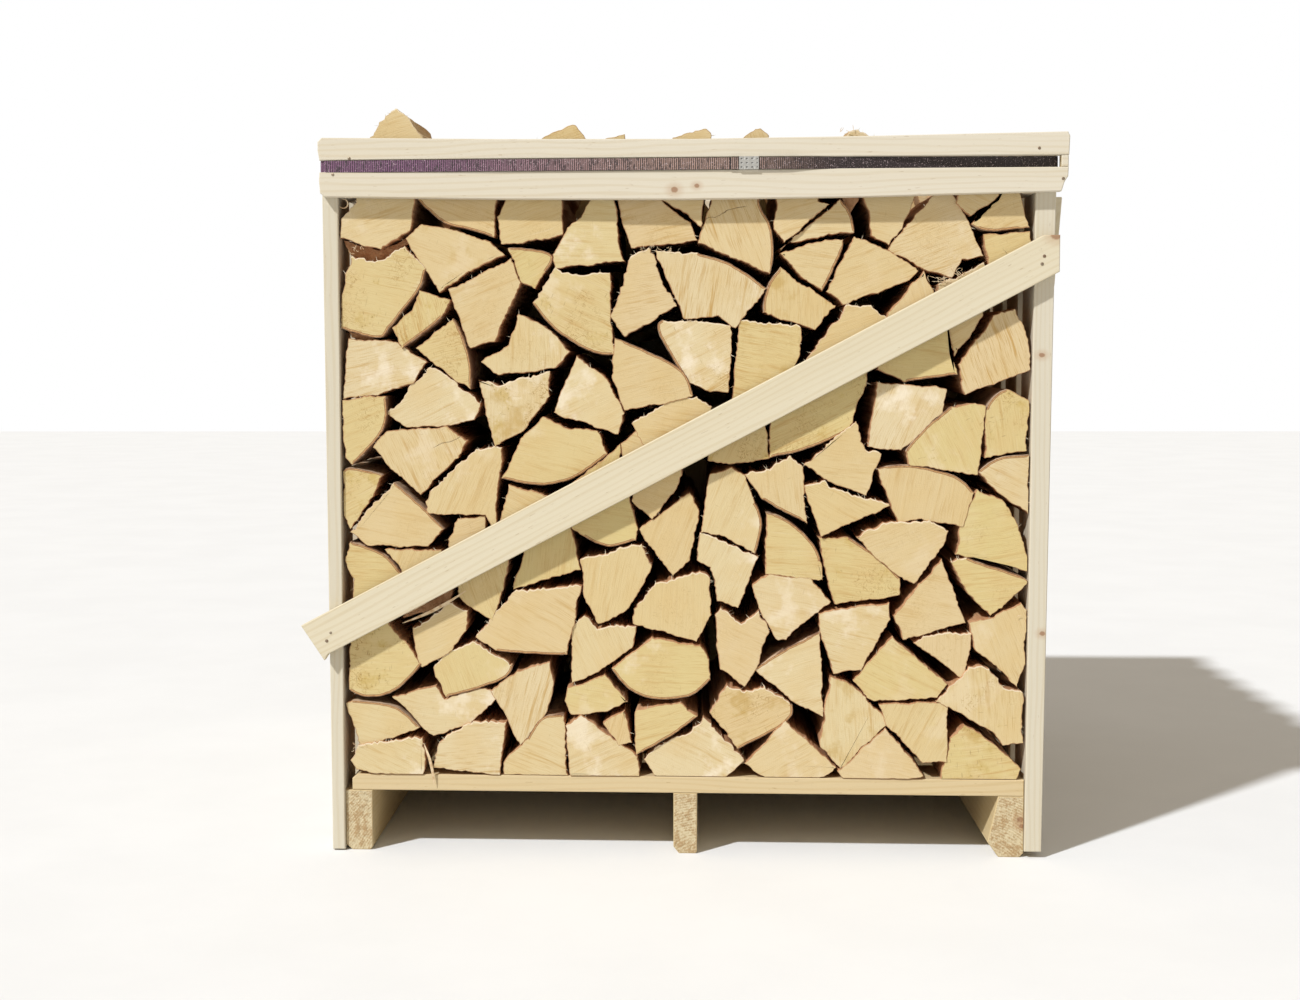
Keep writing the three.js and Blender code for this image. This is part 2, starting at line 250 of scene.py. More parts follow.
# ---------------------------------------------------------------- node helpers
class Tree:
    """Short ways to add nodes to one node tree"""

    def __init__(self, tree):
        self.tree = tree

    def node(self, kind, **settings):
        made = self.tree.nodes.new(kind)
        for key, value in settings.items():
            setattr(made, key, value)
        return made

    def put(self, socket, value):
        if isinstance(value, bpy.types.NodeSocket):
            self.tree.links.new(value, socket)
        elif value is not None:
            if socket.type == "RGBA" and len(value) == 3:
                value = (*value, 1.0)
            socket.default_value = value

    def fill(self, made, values):
        """Puts each value in the named input"""
        for key, value in values.items():
            self.put(made.inputs[key], value)
        return made.outputs

    def math(self, operation, a, b=None):
        made = self.node("ShaderNodeMath", operation=operation)
        self.put(made.inputs[0], a)
        self.put(made.inputs[1], b)
        return made.outputs[0]

    def times(self, a, b):
        return self.math("MULTIPLY", a, b)

    def plus(self, a, b):
        return self.math("ADD", a, b)

    def minus(self, a, b):
        return self.math("SUBTRACT", a, b)

    def size(self, value):
        return self.math("ABSOLUTE", value)

    def sine(self, value):
        return self.math("SINE", value)

    def vector(self, operation, a, b=None):
        made = self.node("ShaderNodeVectorMath", operation=operation)
        self.put(made.inputs[0], a)
        if b is not None:
            self.put(made.inputs[1], b)
        return made.outputs["Value" if operation == "LENGTH" else "Vector"]

    def stretch(self, vector, factors):
        return self.vector("MULTIPLY", vector, factors)

    def noise(self, vector, scale, detail=3.0, roughness=0.55, distortion=0.0):
        made = self.node("ShaderNodeTexNoise")
        return self.fill(made, {"Vector": vector, "Scale": scale, "Detail": detail, "Roughness": roughness,
                                "Distortion": distortion})[0]

    def threads(self, vector, factors, *settings):
        """Noise squeezed by the factors; the settings are noise's own, after its scale"""
        return self.noise(self.stretch(vector, factors), 1.0, *settings)

    def step(self, value, low, high, out_low=0.0, out_high=1.0):
        """Eases from out_low to out_high while the value goes from low to high"""
        made = self.node("ShaderNodeMapRange", interpolation_type="SMOOTHSTEP")
        return self.fill(made, {"Value": value, "From Min": low, "From Max": high, "To Min": out_low,
                                "To Max": out_high})[0]

    def mix(self, factor, a, b):
        made = self.node("ShaderNodeMix", data_type="RGBA", blend_type="MIX")
        self.put(made.inputs[0], factor)
        self.put(made.inputs[6], a)
        self.put(made.inputs[7], b)
        return made.outputs[2]

    def split(self, vector):
        made = self.node("ShaderNodeSeparateXYZ")
        self.put(made.inputs[0], vector)
        return made.outputs

    def join(self, x, y, z):
        made = self.node("ShaderNodeCombineXYZ")
        for i, value in enumerate((x, y, z)):
            self.put(made.inputs[i], value)
        return made.outputs[0]

    def group(self, name, **inputs):
        return self.fill(self.node("ShaderNodeGroup", node_tree=shared_effect(name)), inputs)

    def bump(self, height, distance, strength):
        made = self.node("ShaderNodeBump")
        return self.fill(made, {"Distance": distance, "Strength": strength, "Height": height})[0]

    def dress(self, shader, paint, roughness, height, distance, strength):
        """Gives a shader its colour, its roughness and a relief of that height"""
        self.put(shader["Base Color"], paint)
        self.put(shader["Roughness"], roughness)
        self.put(shader["Normal"], self.bump(height, distance, strength))

    def turned(self, vector, rotation):
        made = self.node("ShaderNodeMapping", vector_type="POINT")
        return self.fill(made, {"Rotation": rotation, "Vector": vector})[0]

    def attribute(self, name, output):
        return self.node("ShaderNodeAttribute", attribute_name=name).outputs[output]

    def object_coordinates(self):
        return self.node("ShaderNodeTexCoord").outputs["Object"]

    def normal(self):
        return self.node("ShaderNodeNewGeometry").outputs["Normal"]


def new_group(name, inputs, outputs):
    """An empty node group with those sockets, as (tree helper, inputs, function that sets an output)"""
    group = bpy.data.node_groups.new(name, "ShaderNodeTree")
    for key, kind, default in inputs:
        socket = group.interface.new_socket(name=key, in_out="INPUT", socket_type=kind)
        if default is not None:
            socket.default_value = default
    for key, kind in outputs:
        group.interface.new_socket(name=key, in_out="OUTPUT", socket_type=kind)
    tree = Tree(group)
    entry = tree.node("NodeGroupInput").outputs
    leave = tree.node("NodeGroupOutput").inputs
    return tree, entry, lambda key, socket: group.links.new(socket, leave[key])


VEC, NUM = "NodeSocketVector", "NodeSocketFloat"


def long_grain_group():
    """Sawn softwood along its X: growth lines, fibres and soft broad bands"""
    tree, entry, leave = new_group(
        "Long grain", [("Vector", VEC, None), ("Ring scale", NUM, 60.0)],
        [("Tone", NUM), ("Fibres", NUM), ("Height", NUM)])
    place = entry["Vector"]
    broad = tree.noise(tree.stretch(place, (0.35, 6.0, 6.0)), 4.0, 4.0)
    wander = tree.threads(place, (1.6, 9.0, 9.0), 3.0)
    across = tree.split(place)
    depth = tree.plus(across[2], tree.times(across[1], 0.45))
    bent = tree.plus(depth, tree.times(wander, 0.055))
    rings = tree.step(tree.sine(tree.times(tree.times(bent, entry["Ring scale"]), 12.0)), -0.2, 1.0)
    fibres = tree.threads(place, (14.0, 900.0, 900.0), 4.0, 0.6)
    tone = tree.plus(tree.times(broad, 0.61), tree.times(rings, 0.24))
    leave("Tone", tree.plus(tone, tree.times(fibres, 0.15)))
    leave("Fibres", fibres)
    saw = tree.threads(place, (420.0, 12.0, 12.0), 2.0)
    leave("Height", tree.plus(tree.times(fibres, 0.6), tree.times(saw, 0.4)))
    return tree.tree


def end_grain_group():
    """Sawn across the fibres: rounded growth rings and a rough, granular face"""
    tree, entry, leave = new_group("End grain", [("Vector", VEC, None)], [("Tone", NUM), ("Height", NUM)])
    place = entry["Vector"]
    grains = tree.noise(place, 420.0, 5.0, 0.7)
    blotches = tree.noise(place, 45.0, 3.0, 0.6)
    from_pith = tree.vector("ADD", tree.vector("MODULO", place, (0.4, 0.4, 0.4)), (0.03, 0.03, 0.05))
    radius = tree.plus(tree.vector("LENGTH", from_pith), tree.times(blotches, 0.004))
    rings = tree.step(tree.sine(tree.times(radius, 1900.0)), -0.4, 1.0)
    lumps = tree.noise(place, 160.0, 4.0, 0.65, 0.4)
    soft = tree.plus(tree.times(lumps, 0.40), tree.times(blotches, 0.25))
    soft = tree.plus(tree.times(rings, 0.05), soft)
    leave("Tone", tree.plus(tree.times(grains, 0.35), soft))
    leave("Height", tree.plus(tree.times(grains, 0.6), tree.times(lumps, 2.4)))
    return tree.tree


def saw_marks_group():
    """Fine lines that a saw leaves, across the X of the vector"""
    tree, entry, leave = new_group(
        "Saw marks", [("Vector", VEC, None)], [("Fine", NUM), ("Coarse", NUM), ("Height", NUM)])
    sway = tree.noise(entry["Vector"], 9.0, 2.0)
    bent = tree.vector("ADD", entry["Vector"], tree.join(tree.times(sway, 0.012), 0.0, 0.0))
    fine = tree.threads(bent, (900.0, 30.0, 30.0), 3.0, 0.65)
    coarse = tree.threads(bent, (190.0, 11.0, 11.0), 3.0, 0.6)
    leave("Fine", fine)
    leave("Coarse", coarse)
    leave("Height", tree.plus(tree.times(fine, 0.5), tree.times(coarse, 0.7)))
    return tree.tree


def dirt_group():
    """Patches of dust and stain; Amount 0 is clean and 1 is covered"""
    tree, entry, leave = new_group(
        "Dirt", [("Vector", VEC, None), ("Amount", NUM, 0.3), ("Size", NUM, 18.0)],
        [("Patches", NUM), ("Specks", NUM)])
    broad = tree.noise(entry["Vector"], entry["Size"], 4.0, 0.6)
    fine = tree.noise(entry["Vector"], tree.times(entry["Size"], 9.0), 4.0, 0.75)
    edge = tree.minus(0.74, tree.times(entry["Amount"], 0.42))
    worn = tree.plus(tree.times(broad, 0.74), tree.times(fine, 0.26))
    leave("Patches", tree.step(worn, edge, tree.plus(edge, 0.13)))
    leave("Specks", tree.step(fine, 0.60, 0.68))
    return tree.tree


def knot_group():
    """One knot at Centre: a brown heart with a paler halo, a little longer along X"""
    tree, entry, leave = new_group(
        "Knot", [("Vector", VEC, None), ("Centre", VEC, None), ("Radius", NUM, 0.005)],
        [("Heart", NUM), ("Halo", NUM)])
    away = tree.stretch(tree.vector("SUBTRACT", entry["Vector"], entry["Centre"]), (0.8, 1.0, 1.0))
    reach = tree.math("DIVIDE", tree.vector("LENGTH", away), entry["Radius"])
    reach = tree.plus(reach, tree.times(tree.noise(entry["Vector"], 260.0), 0.5))
    leave("Heart", tree.step(reach, 0.85, 1.25, 1.0, 0.0))
    leave("Halo", tree.step(reach, 1.0, 3.2, 1.0, 0.0))
    return tree.tree


GROUP_BUILDERS = {
    "Long grain": long_grain_group,
    "End grain": end_grain_group,
    "Saw marks": saw_marks_group,
    "Dirt": dirt_group,
    "Knot": knot_group,
}


def shared_effect(name):
    """The node group of that name, built when it is first asked for"""
    return bpy.data.node_groups.get(name) or GROUP_BUILDERS[name]()


def toned(colour, *factors):
    """The colour with its three channels multiplied, by one factor or by three, and held to 1"""
    if len(factors) == 1:
        factors = factors * 3
    return tuple(min(1.0, c * k) for c, k in zip(colour, factors))


def new_material(name):
    """A new material, as (material, tree helper, its shader's inputs)"""
    material = bpy.data.materials.new(name)
    material.use_nodes = True
    shader = material.node_tree.nodes["Principled BSDF"]
    return material, Tree(material.node_tree), shader.inputs


# ---------------------------------------------------------------- materials
BOARD_DUST = (0.34, 0.26, 0.15)
BOARD_SPECKS = (0.14, 0.08, 0.035)
TORN_WOOD = (0.78, 0.68, 0.50)


def sawn_board(name, colour, turn=(0.0, 0.0, 0.0), knots=(), dirt=0.18):
    """Sawn softwood. turn is the rotation that lays the board's length along X."""
    material, tree, shader = new_material(name)
    place = tree.object_coordinates()
    along = tree.turned(place, turn)
    end = tree.step(tree.size(tree.split(tree.turned(tree.normal(), turn))[0]), 0.75, 0.9)

    grain = tree.group("Long grain", Vector=along)
    ends = tree.group("End grain", Vector=along)
    dark = toned(colour, 0.93, 0.87, 0.76)
    pale = toned(colour, 1.05)
    face = tree.mix(tree.step(grain["Tone"], 0.30, 0.95), pale, dark)
    face = tree.mix(tree.step(grain["Fibres"], 0.55, 0.80, 0.0, 0.16), face, toned(dark, 0.70))
    nicks = tree.threads(along, (70.0, 620.0, 620.0), 2.0, 0.4)
    face = tree.mix(tree.step(nicks, 0.70, 0.78, 0.0, 0.55), face, toned(colour, 0.55, 0.42, 0.28))
    board = tree.threads(along, (0.5, 11.0, 11.0), 1.0)
    face = tree.mix(tree.step(board, 0.30, 0.70, 0.0, 0.35), face, toned(colour, 0.97, 0.92, 0.80))
    cut = tree.mix(tree.step(ends["Tone"], 0.45, 0.60), (0.615, 0.520, 0.330), (0.40, 0.265, 0.125))
    paint = tree.mix(end, face, cut)
    soil = tree.group("Dirt", Vector=place, Amount=dirt, Size=11.0)
    paint = tree.mix(tree.times(soil["Patches"], 0.35), paint, BOARD_DUST)
    paint = tree.mix(tree.times(tree.times(soil["Specks"], soil["Patches"]), 0.6), paint, BOARD_SPECKS)
    for centre, radius in knots:
        knot = tree.group("Knot", Vector=place, Centre=centre, Radius=radius)
        paint = tree.mix(tree.times(knot["Halo"], 0.35), paint, (0.42, 0.24, 0.12))
        paint = tree.mix(tree.times(knot["Heart"], 0.75), paint, (0.26, 0.12, 0.05))
    height = tree.plus(tree.times(grain["Height"], 0.35), tree.times(tree.times(ends["Height"], end), 1.1))
    tree.dress(shader, paint, tree.step(grain["Fibres"], 0.2, 0.8, 0.62, 0.86), height, 0.0012, 0.8)
    return material


def log_end_material(colour):
    """Sawn birch end: saw marks, faint rings, cracks, stains, and a frayed rim with painted shade of the gaps
    between the logs along its edge
    """
    material, tree, shader = new_material("birch_end")
    saw = tree.attribute("saw", "Vector")
    heart = tree.attribute("heart", "Vector")
    tint = tree.split(tree.attribute("tint", "Vector"))      # yellow, dirt, light
    flaw = tree.split(tree.attribute("flaw", "Vector"))      # crack, dark heart, heavy saw marks

    marks = tree.group("Saw marks", Vector=saw)
    warm = toned(colour, 1.0, 0.93, 0.86)
    yellow = toned(colour, 0.97, 0.96, 0.74)
    light = toned(colour, 1.05, 1.07, 1.16)
    paint = tree.mix(tint[2], warm, light)
    paint = tree.mix(tint[0], paint, yellow)
    clouds = tree.noise(heart, 14.0, 3.0)
    paint = tree.mix(tree.step(clouds, 0.40, 0.75, 0.0, 0.45), paint, toned(colour, 0.97, 0.86, 0.66))
    worked = tree.step(tree.noise(saw, 13.0, 2.0), 0.36, 0.62, 0.45, 1.25)
    depth = tree.times(tree.plus(0.38, tree.times(flaw[2], 0.62)), worked)
    fine = tree.times(tree.step(marks["Fine"], 0.50, 0.72), depth)
    paint = tree.mix(fine, paint, toned(colour, 0.72, 0.54, 0.30))
    coarse = tree.times(tree.step(marks["Coarse"], 0.52, 0.74), depth)
    paint = tree.mix(coarse, paint, toned(colour, 0.78, 0.60, 0.34))
    paint = tree.mix(tree.times(tree.step(marks["Coarse"], 0.22, 0.42, 1.0, 0.0), 0.35), paint, light)
    radius = tree.vector("LENGTH", tree.stretch(heart, (1.0, 0.0, 1.0)))
    wobble = tree.times(tree.noise(heart, 30.0), 0.006)
    rings = tree.step(tree.sine(tree.times(tree.plus(radius, wobble), 2400.0)), 0.2, 1.0)
    paint = tree.mix(tree.times(rings, 0.10), paint, toned(colour, 0.80, 0.66, 0.46))

    core = tree.times(tree.step(tree.noise(heart, 26.0, 4.0, 0.6), 0.50, 0.68), flaw[1])
    paint = tree.mix(tree.times(core, 0.55), paint, (0.43, 0.27, 0.055))
    fresh = tree.times(tree.step(tree.noise(heart, 17.0, 4.0, 0.6), 0.55, 0.72), tint[2])
    paint = tree.mix(tree.times(fresh, 0.75), paint, (0.80, 0.72, 0.58))
    soil = tree.group("Dirt", Vector=heart, Amount=tree.plus(0.10, tree.times(tint[1], 0.47)), Size=19.0)
    paint = tree.mix(tree.times(soil["Patches"], 0.62), paint, (0.47, 0.32, 0.070))
    specks = tree.times(tree.times(soil["Specks"], soil["Patches"]), 0.8)
    paint = tree.mix(specks, paint, (0.16, 0.09, 0.03))
    flecks = tree.threads(saw, (60.0, 20.0, 420.0), 2.0, 0.5)
    flecks = tree.times(tree.step(flecks, 0.66, 0.74), tree.plus(0.10, tree.times(tint[1], 0.5)))
    paint = tree.mix(flecks, paint, (0.30, 0.19, 0.07))
    veins = tree.size(tree.minus(tree.noise(heart, 85.0, 3.0, 0.6, 1.2), 0.5))
    mould = tree.times(tree.step(tree.noise(heart, 15.0, 3.0), 0.50, 0.60), tint[1])
    mould = tree.times(tree.step(veins, 0.006, 0.022, 0.8, 0.0), mould)
    paint = tree.mix(mould, paint, (0.32, 0.18, 0.035))

    drift = tree.times(tree.minus(tree.noise(heart, 45.0, 3.0), 0.5), 0.016)
    line = tree.size(tree.plus(tree.split(saw)[2], drift))
    crack = tree.times(tree.step(line, 0.0001, 0.0007, 1.0, 0.0), flaw[0])
    crack = tree.times(crack, tree.step(radius, 0.050, 0.064, 1.0, 0.0))
    paint = tree.mix(tree.times(crack, 0.7), paint, (0.16, 0.08, 0.035))

    fray = tree.noise(heart, 260.0, 3.0, 0.7)
    # painted shade: the rim of each end is darkened where it meets the gaps between the logs, broken up by
    # the fray noise
    edge = tree.step(tree.plus(tree.attribute("rim", "Fac"), tree.times(fray, 0.55)), 1.00, 1.24)
    paint = tree.mix(tree.times(edge, 0.72), paint, (0.25, 0.115, 0.045))
    torn = tree.step(tree.plus(tree.attribute("torn", "Fac"), tree.times(fray, 0.9)), 0.85, 1.20)
    paint = tree.mix(tree.times(torn, 0.85), paint, TORN_WOOD)
    height = tree.plus(marks["Height"], tree.times(tree.noise(heart, 500.0, 3.0), 0.5))
    height = tree.minus(height, tree.times(crack, 3.0))
    tree.dress(shader, paint, tree.step(marks["Fine"], 0.2, 0.8, 0.66, 0.90), height, 0.0007, 0.75)
    return material


def log_split_material(colour):
    """Riven face: long torn fibres with paler and redder streaks, and painted shade that makes the sides down
    in the stack darker and redder
    """
    material, tree, shader = new_material("birch_split")
    heart = tree.attribute("heart", "Vector")
    tint = tree.split(tree.attribute("tint", "Vector"))
    across, along, up = tree.split(heart)
    fibres = tree.join(along, across, up)
    streaks = tree.threads(fibres, (5.0, 110.0, 110.0), 5.0, 0.62, 0.3)
    hairs = tree.threads(fibres, (22.0, 800.0, 800.0), 4.0, 0.65)
    clouds = tree.noise(heart, 9.0, 4.0, 0.6)
    pale = toned(colour, 1.08, 1.14, 1.22)
    red = toned(colour, 0.80, 0.58, 0.42)
    # painted shade: the split sides down inside the stack take this darker, redder colour in place of their
    # plain one
    shaded_split_paint = tree.mix(tree.step(streaks, 0.34, 0.66), (0.60, 0.345, 0.18), (0.42, 0.205, 0.090))
    open_split_paint = tree.mix(tree.step(streaks, 0.36, 0.68), pale, toned(colour, 0.90, 0.82, 0.70))
    redness = tree.times(tree.step(clouds, 0.50, 0.68), tree.step(tint[0], 0.0, 0.5, 0.7, 0.25))
    open_split_paint = tree.mix(redness, open_split_paint, red)
    open_split_paint = tree.mix(tree.times(tint[2], 0.3), open_split_paint, pale)
    # the painted shade stops near the top: only sides higher than the side rails show the plain colour
    top_of_stack = tree.step(tree.split(tree.object_coordinates())[2], 0.955, 1.010)
    paint = tree.mix(top_of_stack, shaded_split_paint, open_split_paint)
    paint = tree.mix(tree.step(hairs, 0.52, 0.80, 0.0, 0.32), paint, toned(red, 0.5))
    paint = tree.mix(tree.attribute("torn", "Fac"), paint, TORN_WOOD)
    soil = tree.group("Dirt", Vector=heart, Amount=0.30, Size=20.0)
    paint = tree.mix(tree.times(soil["Patches"], 0.35), paint, (0.20, 0.09, 0.035))
    height = tree.plus(streaks, tree.times(hairs, 0.45))
    tree.dress(shader, paint, tree.step(hairs, 0.2, 0.8, 0.70, 0.93), height, 0.0035, 0.8)
    return material


def log_bark_material(colour):
    """Birch bark: grey-white paper skin with dark dashes, and its rust-brown edge where it is sawn"""
    material, tree, shader = new_material("birch_bark")
    heart = tree.attribute("heart", "Vector")
    cut = tree.step(tree.size(tree.split(tree.normal())[1]), 0.6, 0.8)
    dashes = tree.threads(heart, (26.0, 260.0, 26.0), 3.0, 0.6)
    peel = tree.threads(heart, (40.0, 14.0, 40.0), 4.0, 0.6, 0.6)
    grains = tree.noise(heart, 320.0, 4.0, 0.7)
    brown = (0.23, 0.125, 0.068)
    pale = toned(colour, 1.40, 1.40, 1.36)
    bare = tree.step(tree.attribute("skin", "Fac"), 0.3, 0.7, 0.04, -0.16)
    amount = tree.plus(peel, bare)
    skin = tree.mix(tree.step(peel, 0.38, 0.60), pale, colour)
    skin = tree.mix(tree.step(amount, 0.46, 0.60), skin, brown)
    skin = tree.mix(tree.step(grains, 0.50, 0.75, 0.0, 0.35), skin, (0.30, 0.145, 0.070))
    skin = tree.mix(tree.step(dashes, 0.60, 0.68, 0.0, 0.8), skin, (0.055, 0.035, 0.025))
    depth = tree.plus(tree.attribute("rim", "Fac"), tree.times(tree.minus(grains, 0.5), 0.35))
    inner = tree.mix(tree.step(grains, 0.35, 0.70), (0.52, 0.31, 0.13), (0.34, 0.165, 0.060))
    inner = tree.mix(tree.step(depth, 0.16, 0.30, 0.85, 0.0), inner, (0.16, 0.065, 0.025))
    inner = tree.mix(tree.step(depth, 0.66, 0.90, 0.0, 0.9), inner, (0.12, 0.045, 0.018))
    height = tree.plus(peel, tree.plus(tree.times(dashes, -0.5), tree.times(grains, 0.35)))
    paint = tree.mix(cut, skin, inner)
    tree.dress(shader, paint, tree.step(peel, 0.3, 0.7, 0.55, 0.85), height, 0.0016, 0.8)
    return material


def splinter_material():
    """Loose splinters and curls, paler along their length"""
    material, tree, shader = new_material("splinter")
    place = tree.object_coordinates()
    tone = tree.noise(place, 120.0, 3.0)
    paint = tree.mix(tree.step(tone, 0.35, 0.65), (0.74, 0.60, 0.40), (0.50, 0.33, 0.17))
    fibres = tree.noise(place, 900.0, 3.0)
    tree.dress(shader, paint, tree.step(tone, 0.3, 0.7, 0.7, 0.9), fibres, 0.0004, 0.7)
    return material


def strap_material(colour):
    """Ribbed plastic strap, near black, with painted sunlight that turns its front run violet towards the
    left, painted shade in the rib hollows and painted glints
    """
    material, tree, shader = new_material("strap")
    place = tree.object_coordinates()
    x = tree.split(place)[0]
    weave = tree.threads(place, (360.0, 360.0, 90.0), 3.0, 0.6)
    # painted sunlight: the near-black strap is painted violet and mauve on the left of its front run, where
    # the sun falls on it, and stays its own dark colour further right, where it lies in shade
    violet = (0.245, 0.115, 0.215)
    mauve = (0.425, 0.285, 0.235)
    strap_with_painted_light = tree.mix(tree.step(x, -0.42, 0.02), violet, mauve)
    strap_with_painted_light = tree.mix(tree.step(x, 0.03, 0.24), strap_with_painted_light, colour)
    # the painted sunlight is kept to the front run; the runs round the sides and back keep the strap's own
    # colour
    across = tree.step(tree.split(place)[1], -0.49, -0.46, 0.0, 1.0)
    strap_with_painted_light = tree.mix(tree.times(across, 0.8), strap_with_painted_light, colour)
    # painted shade: the hollows between the ribs, and the strap's inner face, are darkened
    rib = tree.attribute("rib", "Fac")
    strap_with_painted_light = tree.mix(tree.step(rib, 0.25, 0.80, 0.97, 0.0), strap_with_painted_light, toned(colour, 0.3))
    strap_with_painted_light = tree.mix(tree.step(weave, 0.50, 0.66, 0.0, 0.75), strap_with_painted_light, toned(colour, 0.5))
    glints = tree.noise(place, 650.0, 2.0, 0.6)
    strap_with_painted_light = tree.mix(tree.step(glints, 0.60, 0.70, 0.0, 0.75), strap_with_painted_light, (0.62, 0.50, 0.52))
    dust = tree.group("Dirt", Vector=place, Amount=0.35, Size=30.0)
    paint = tree.mix(tree.times(dust["Patches"], 0.22), strap_with_painted_light, (0.34, 0.28, 0.24))
    tree.dress(shader, paint, tree.step(weave, 0.3, 0.7, 0.34, 0.56), weave, 0.0003, 0.6)
    return material


def steel_material(name, colour, rust, scale):
    """Zinc-dull steel with scratches and a little rust"""
    material, tree, shader = new_material(name)
    place = tree.object_coordinates()
    scratches = tree.noise(tree.stretch(place, (60.0, 900.0, 900.0)), scale, 3.0, 0.6)
    spots = tree.noise(place, 380.0 * scale, 4.0, 0.65)
    paint = tree.mix(tree.step(scratches, 0.35, 0.70), colour, toned(colour, 0.72))
    paint = tree.mix(tree.step(spots, 0.62 - rust * 0.25, 0.74), paint, (0.16, 0.065, 0.028))
    # painted shade: the hollows of the seal's crimps, read from the dent attribute, are darkened
    dent = tree.step(tree.attribute("dent", "Fac"), 0.10, 0.55, 0.0, 0.85)
    paint = tree.mix(dent, paint, toned(colour, 0.20))
    tree.put(shader["Metallic"], tree.step(spots, 0.55, 0.70, 0.85, 0.15))
    tree.dress(shader, paint, tree.step(scratches, 0.3, 0.7, 0.36, 0.60), scratches, 0.0002, 0.6)
    return material


def floor_material(colour):
    """Pale, faintly mottled studio floor"""
    material, tree, shader = new_material("floor")
    mottle = tree.noise(tree.object_coordinates(), 3.0, 5.0, 0.6)
    tree.put(shader["Base Color"], tree.mix(tree.step(mottle, 0.3, 0.7), colour, toned(colour, 0.97)))
    shader["Roughness"].default_value = 0.8
    return material


# ---------------------------------------------------------------- shared mesh work
def put_in_crate(name, mesh, materials, replaces=()):
    """Makes the object, says which body it rides on, and hides the nodes it stands for"""
    piece = bpy.data.objects.new(name, mesh)
    bpy.context.scene.collection.objects.link(piece)
    for material in materials:
        mesh.materials.append(material)
    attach(piece, "root")
    if replaces:
        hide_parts(*replaces)
    return piece


def mesh_of(name, points, faces, smooth_under=None):
    """A checked mesh; edges flatter than smooth_under degrees are shaded smooth"""
    mesh = bpy.data.meshes.new(name)
    mesh.from_pydata([tuple(p) for p in points], [], faces)
    mesh.validate()
    if smooth_under:
        for polygon in mesh.polygons:
            polygon.use_smooth = True
        mesh.set_sharp_from_angle(angle=math.radians(smooth_under))
    return mesh


def finish_nodes(names, material):
    """Gives CAD pieces their finish"""
    for name in names:
        node = NODES[name]
        for held in node.material_slots:
            held.material = material
        if not node.material_slots:
            raise RuntimeError(f"{name} has no material slot")


def nodes_named(start):
    return sorted(n for n in NODES if n.startswith(start))


# ---------------------------------------------------------------- logs
def read_logs():
    """[(name, tags, [(x, z)], [bark side?])], counter-clockwise seen from the front, in metres"""
    logs = []
    for line in LOG_ENDS.replace("\n  ", " ").strip().splitlines():
        label, *corners = line.split()
        name, _, tags = label.partition(":")
        points = [tuple(float(v) * MM for v in c.rstrip("b").split(",")) for c in corners]
        bark = [c.endswith("b") for c in corners]
        area = sum(a[0] * b[1] - b[0] * a[1] for a, b in zip(points, points[1:] + points[:1]))
        if area < 0:
            points.reverse()
            count = len(points)
            bark = [bark[(count - 2 - i) % count] for i in range(count)]
        logs.append((name, tags, points, bark))
    return logs


def mirrored(points, bark, squeeze):
    """The same end seen from behind; squeeze lowers a rank, so that gaps don't line up from rank to rank"""
    count = len(points)
    turned = [(-x - LEFT_EXTRA, LOAD_FLOOR + (z - LOAD_FLOOR) * squeeze) for x, z in points][::-1]
    return turned, [bark[(count - 2 - i) % count] for i in range(count)]


def curve_side(a, b, start, end, steps):
    """Points from a up to but not including b, leaving with slope start and arriving with slope end"""
    for i in range(steps):
        t = i / steps
        from_a, leave = 2 * t ** 3 - 3 * t ** 2 + 1, t ** 3 - 2 * t ** 2 + t
        to_b, arrive = 3 * t ** 2 - 2 * t ** 3, t ** 3 - t ** 2
        yield a * from_a + start * leave + b * to_b + end * arrive


def outline(points, bark, step, gap, seed, ragged):
    """(points round the end, whether each side from one to the next is bark, outward normals)"""
    corners = [Vector(p) for p in points]
    count = len(corners)
    ring, skin = [], []
    for i in range(count):
        a, b = corners[i], corners[(i + 1) % count]
        before, after = corners[i - 1], corners[(i + 2) % count]
        side = b - a
        steps = max(1, round(side.length / step))
        if bark[i]:
            joined_before, joined_after = bark[i - 1], bark[(i + 1) % count]
            if not joined_before and not joined_after:
                bulge = Vector((side.y, -side.x)) * 0.45
                start, end = side + bulge, side - bulge
            else:
                end = (after - a) / 2 if joined_after else None
                start = (b - before) / 2 if joined_before else side * 1.5 - end / 2
                end = side * 1.5 - start / 2 if end is None else end
        else:
            start = end = side
        for p in curve_side(a, b, start, end, steps):
            ring.append(p)
            skin.append(bark[i])
    size = len(ring)
    normals = []
    for i in range(size):
        along = ring[(i + 1) % size] - ring[i - 1]
        normals.append(Vector((along.y, -along.x)).normalized())
    wave_depth, nick_depth = 0.0030, 0.0020
    shaped = []
    for i, (p, n) in enumerate(zip(ring, normals)):
        rough = 0.35 if skin[i] and skin[i - 1] else (1.7 if ragged and n.y > 0.15 else 1.0)
        wave = noise.noise(Vector((p.x * 40, p.y * 40, seed))) * wave_depth
        nick = noise.noise(Vector((p.x * 190, p.y * 190, seed + 5))) * nick_depth
        shaped.append(p + n * (rough * (wave + nick) - gap))
    return shaped, skin, normals


def thickness_inward(ring, normals, i, most):
    """How far the far side is from point i, straight inward, up to most"""
    p, d = ring[i], -normals[i]
    best = most
    size = len(ring)
    for j in range(size):
        if j in (i, (i - 1) % size):
            continue
        a, b = ring[j], ring[(j + 1) % size]
        e = b - a
        cross = d.x * e.y - d.y * e.x
        if abs(cross) < 1e-12:
            continue
        t = ((a.x - p.x) * e.y - (a.y - p.y) * e.x) / cross
        u = ((a.x - p.x) * d.y - (a.y - p.y) * d.x) / cross
        if 1e-6 < t < best and 0.0 <= u <= 1.0:
            best = t
    return best


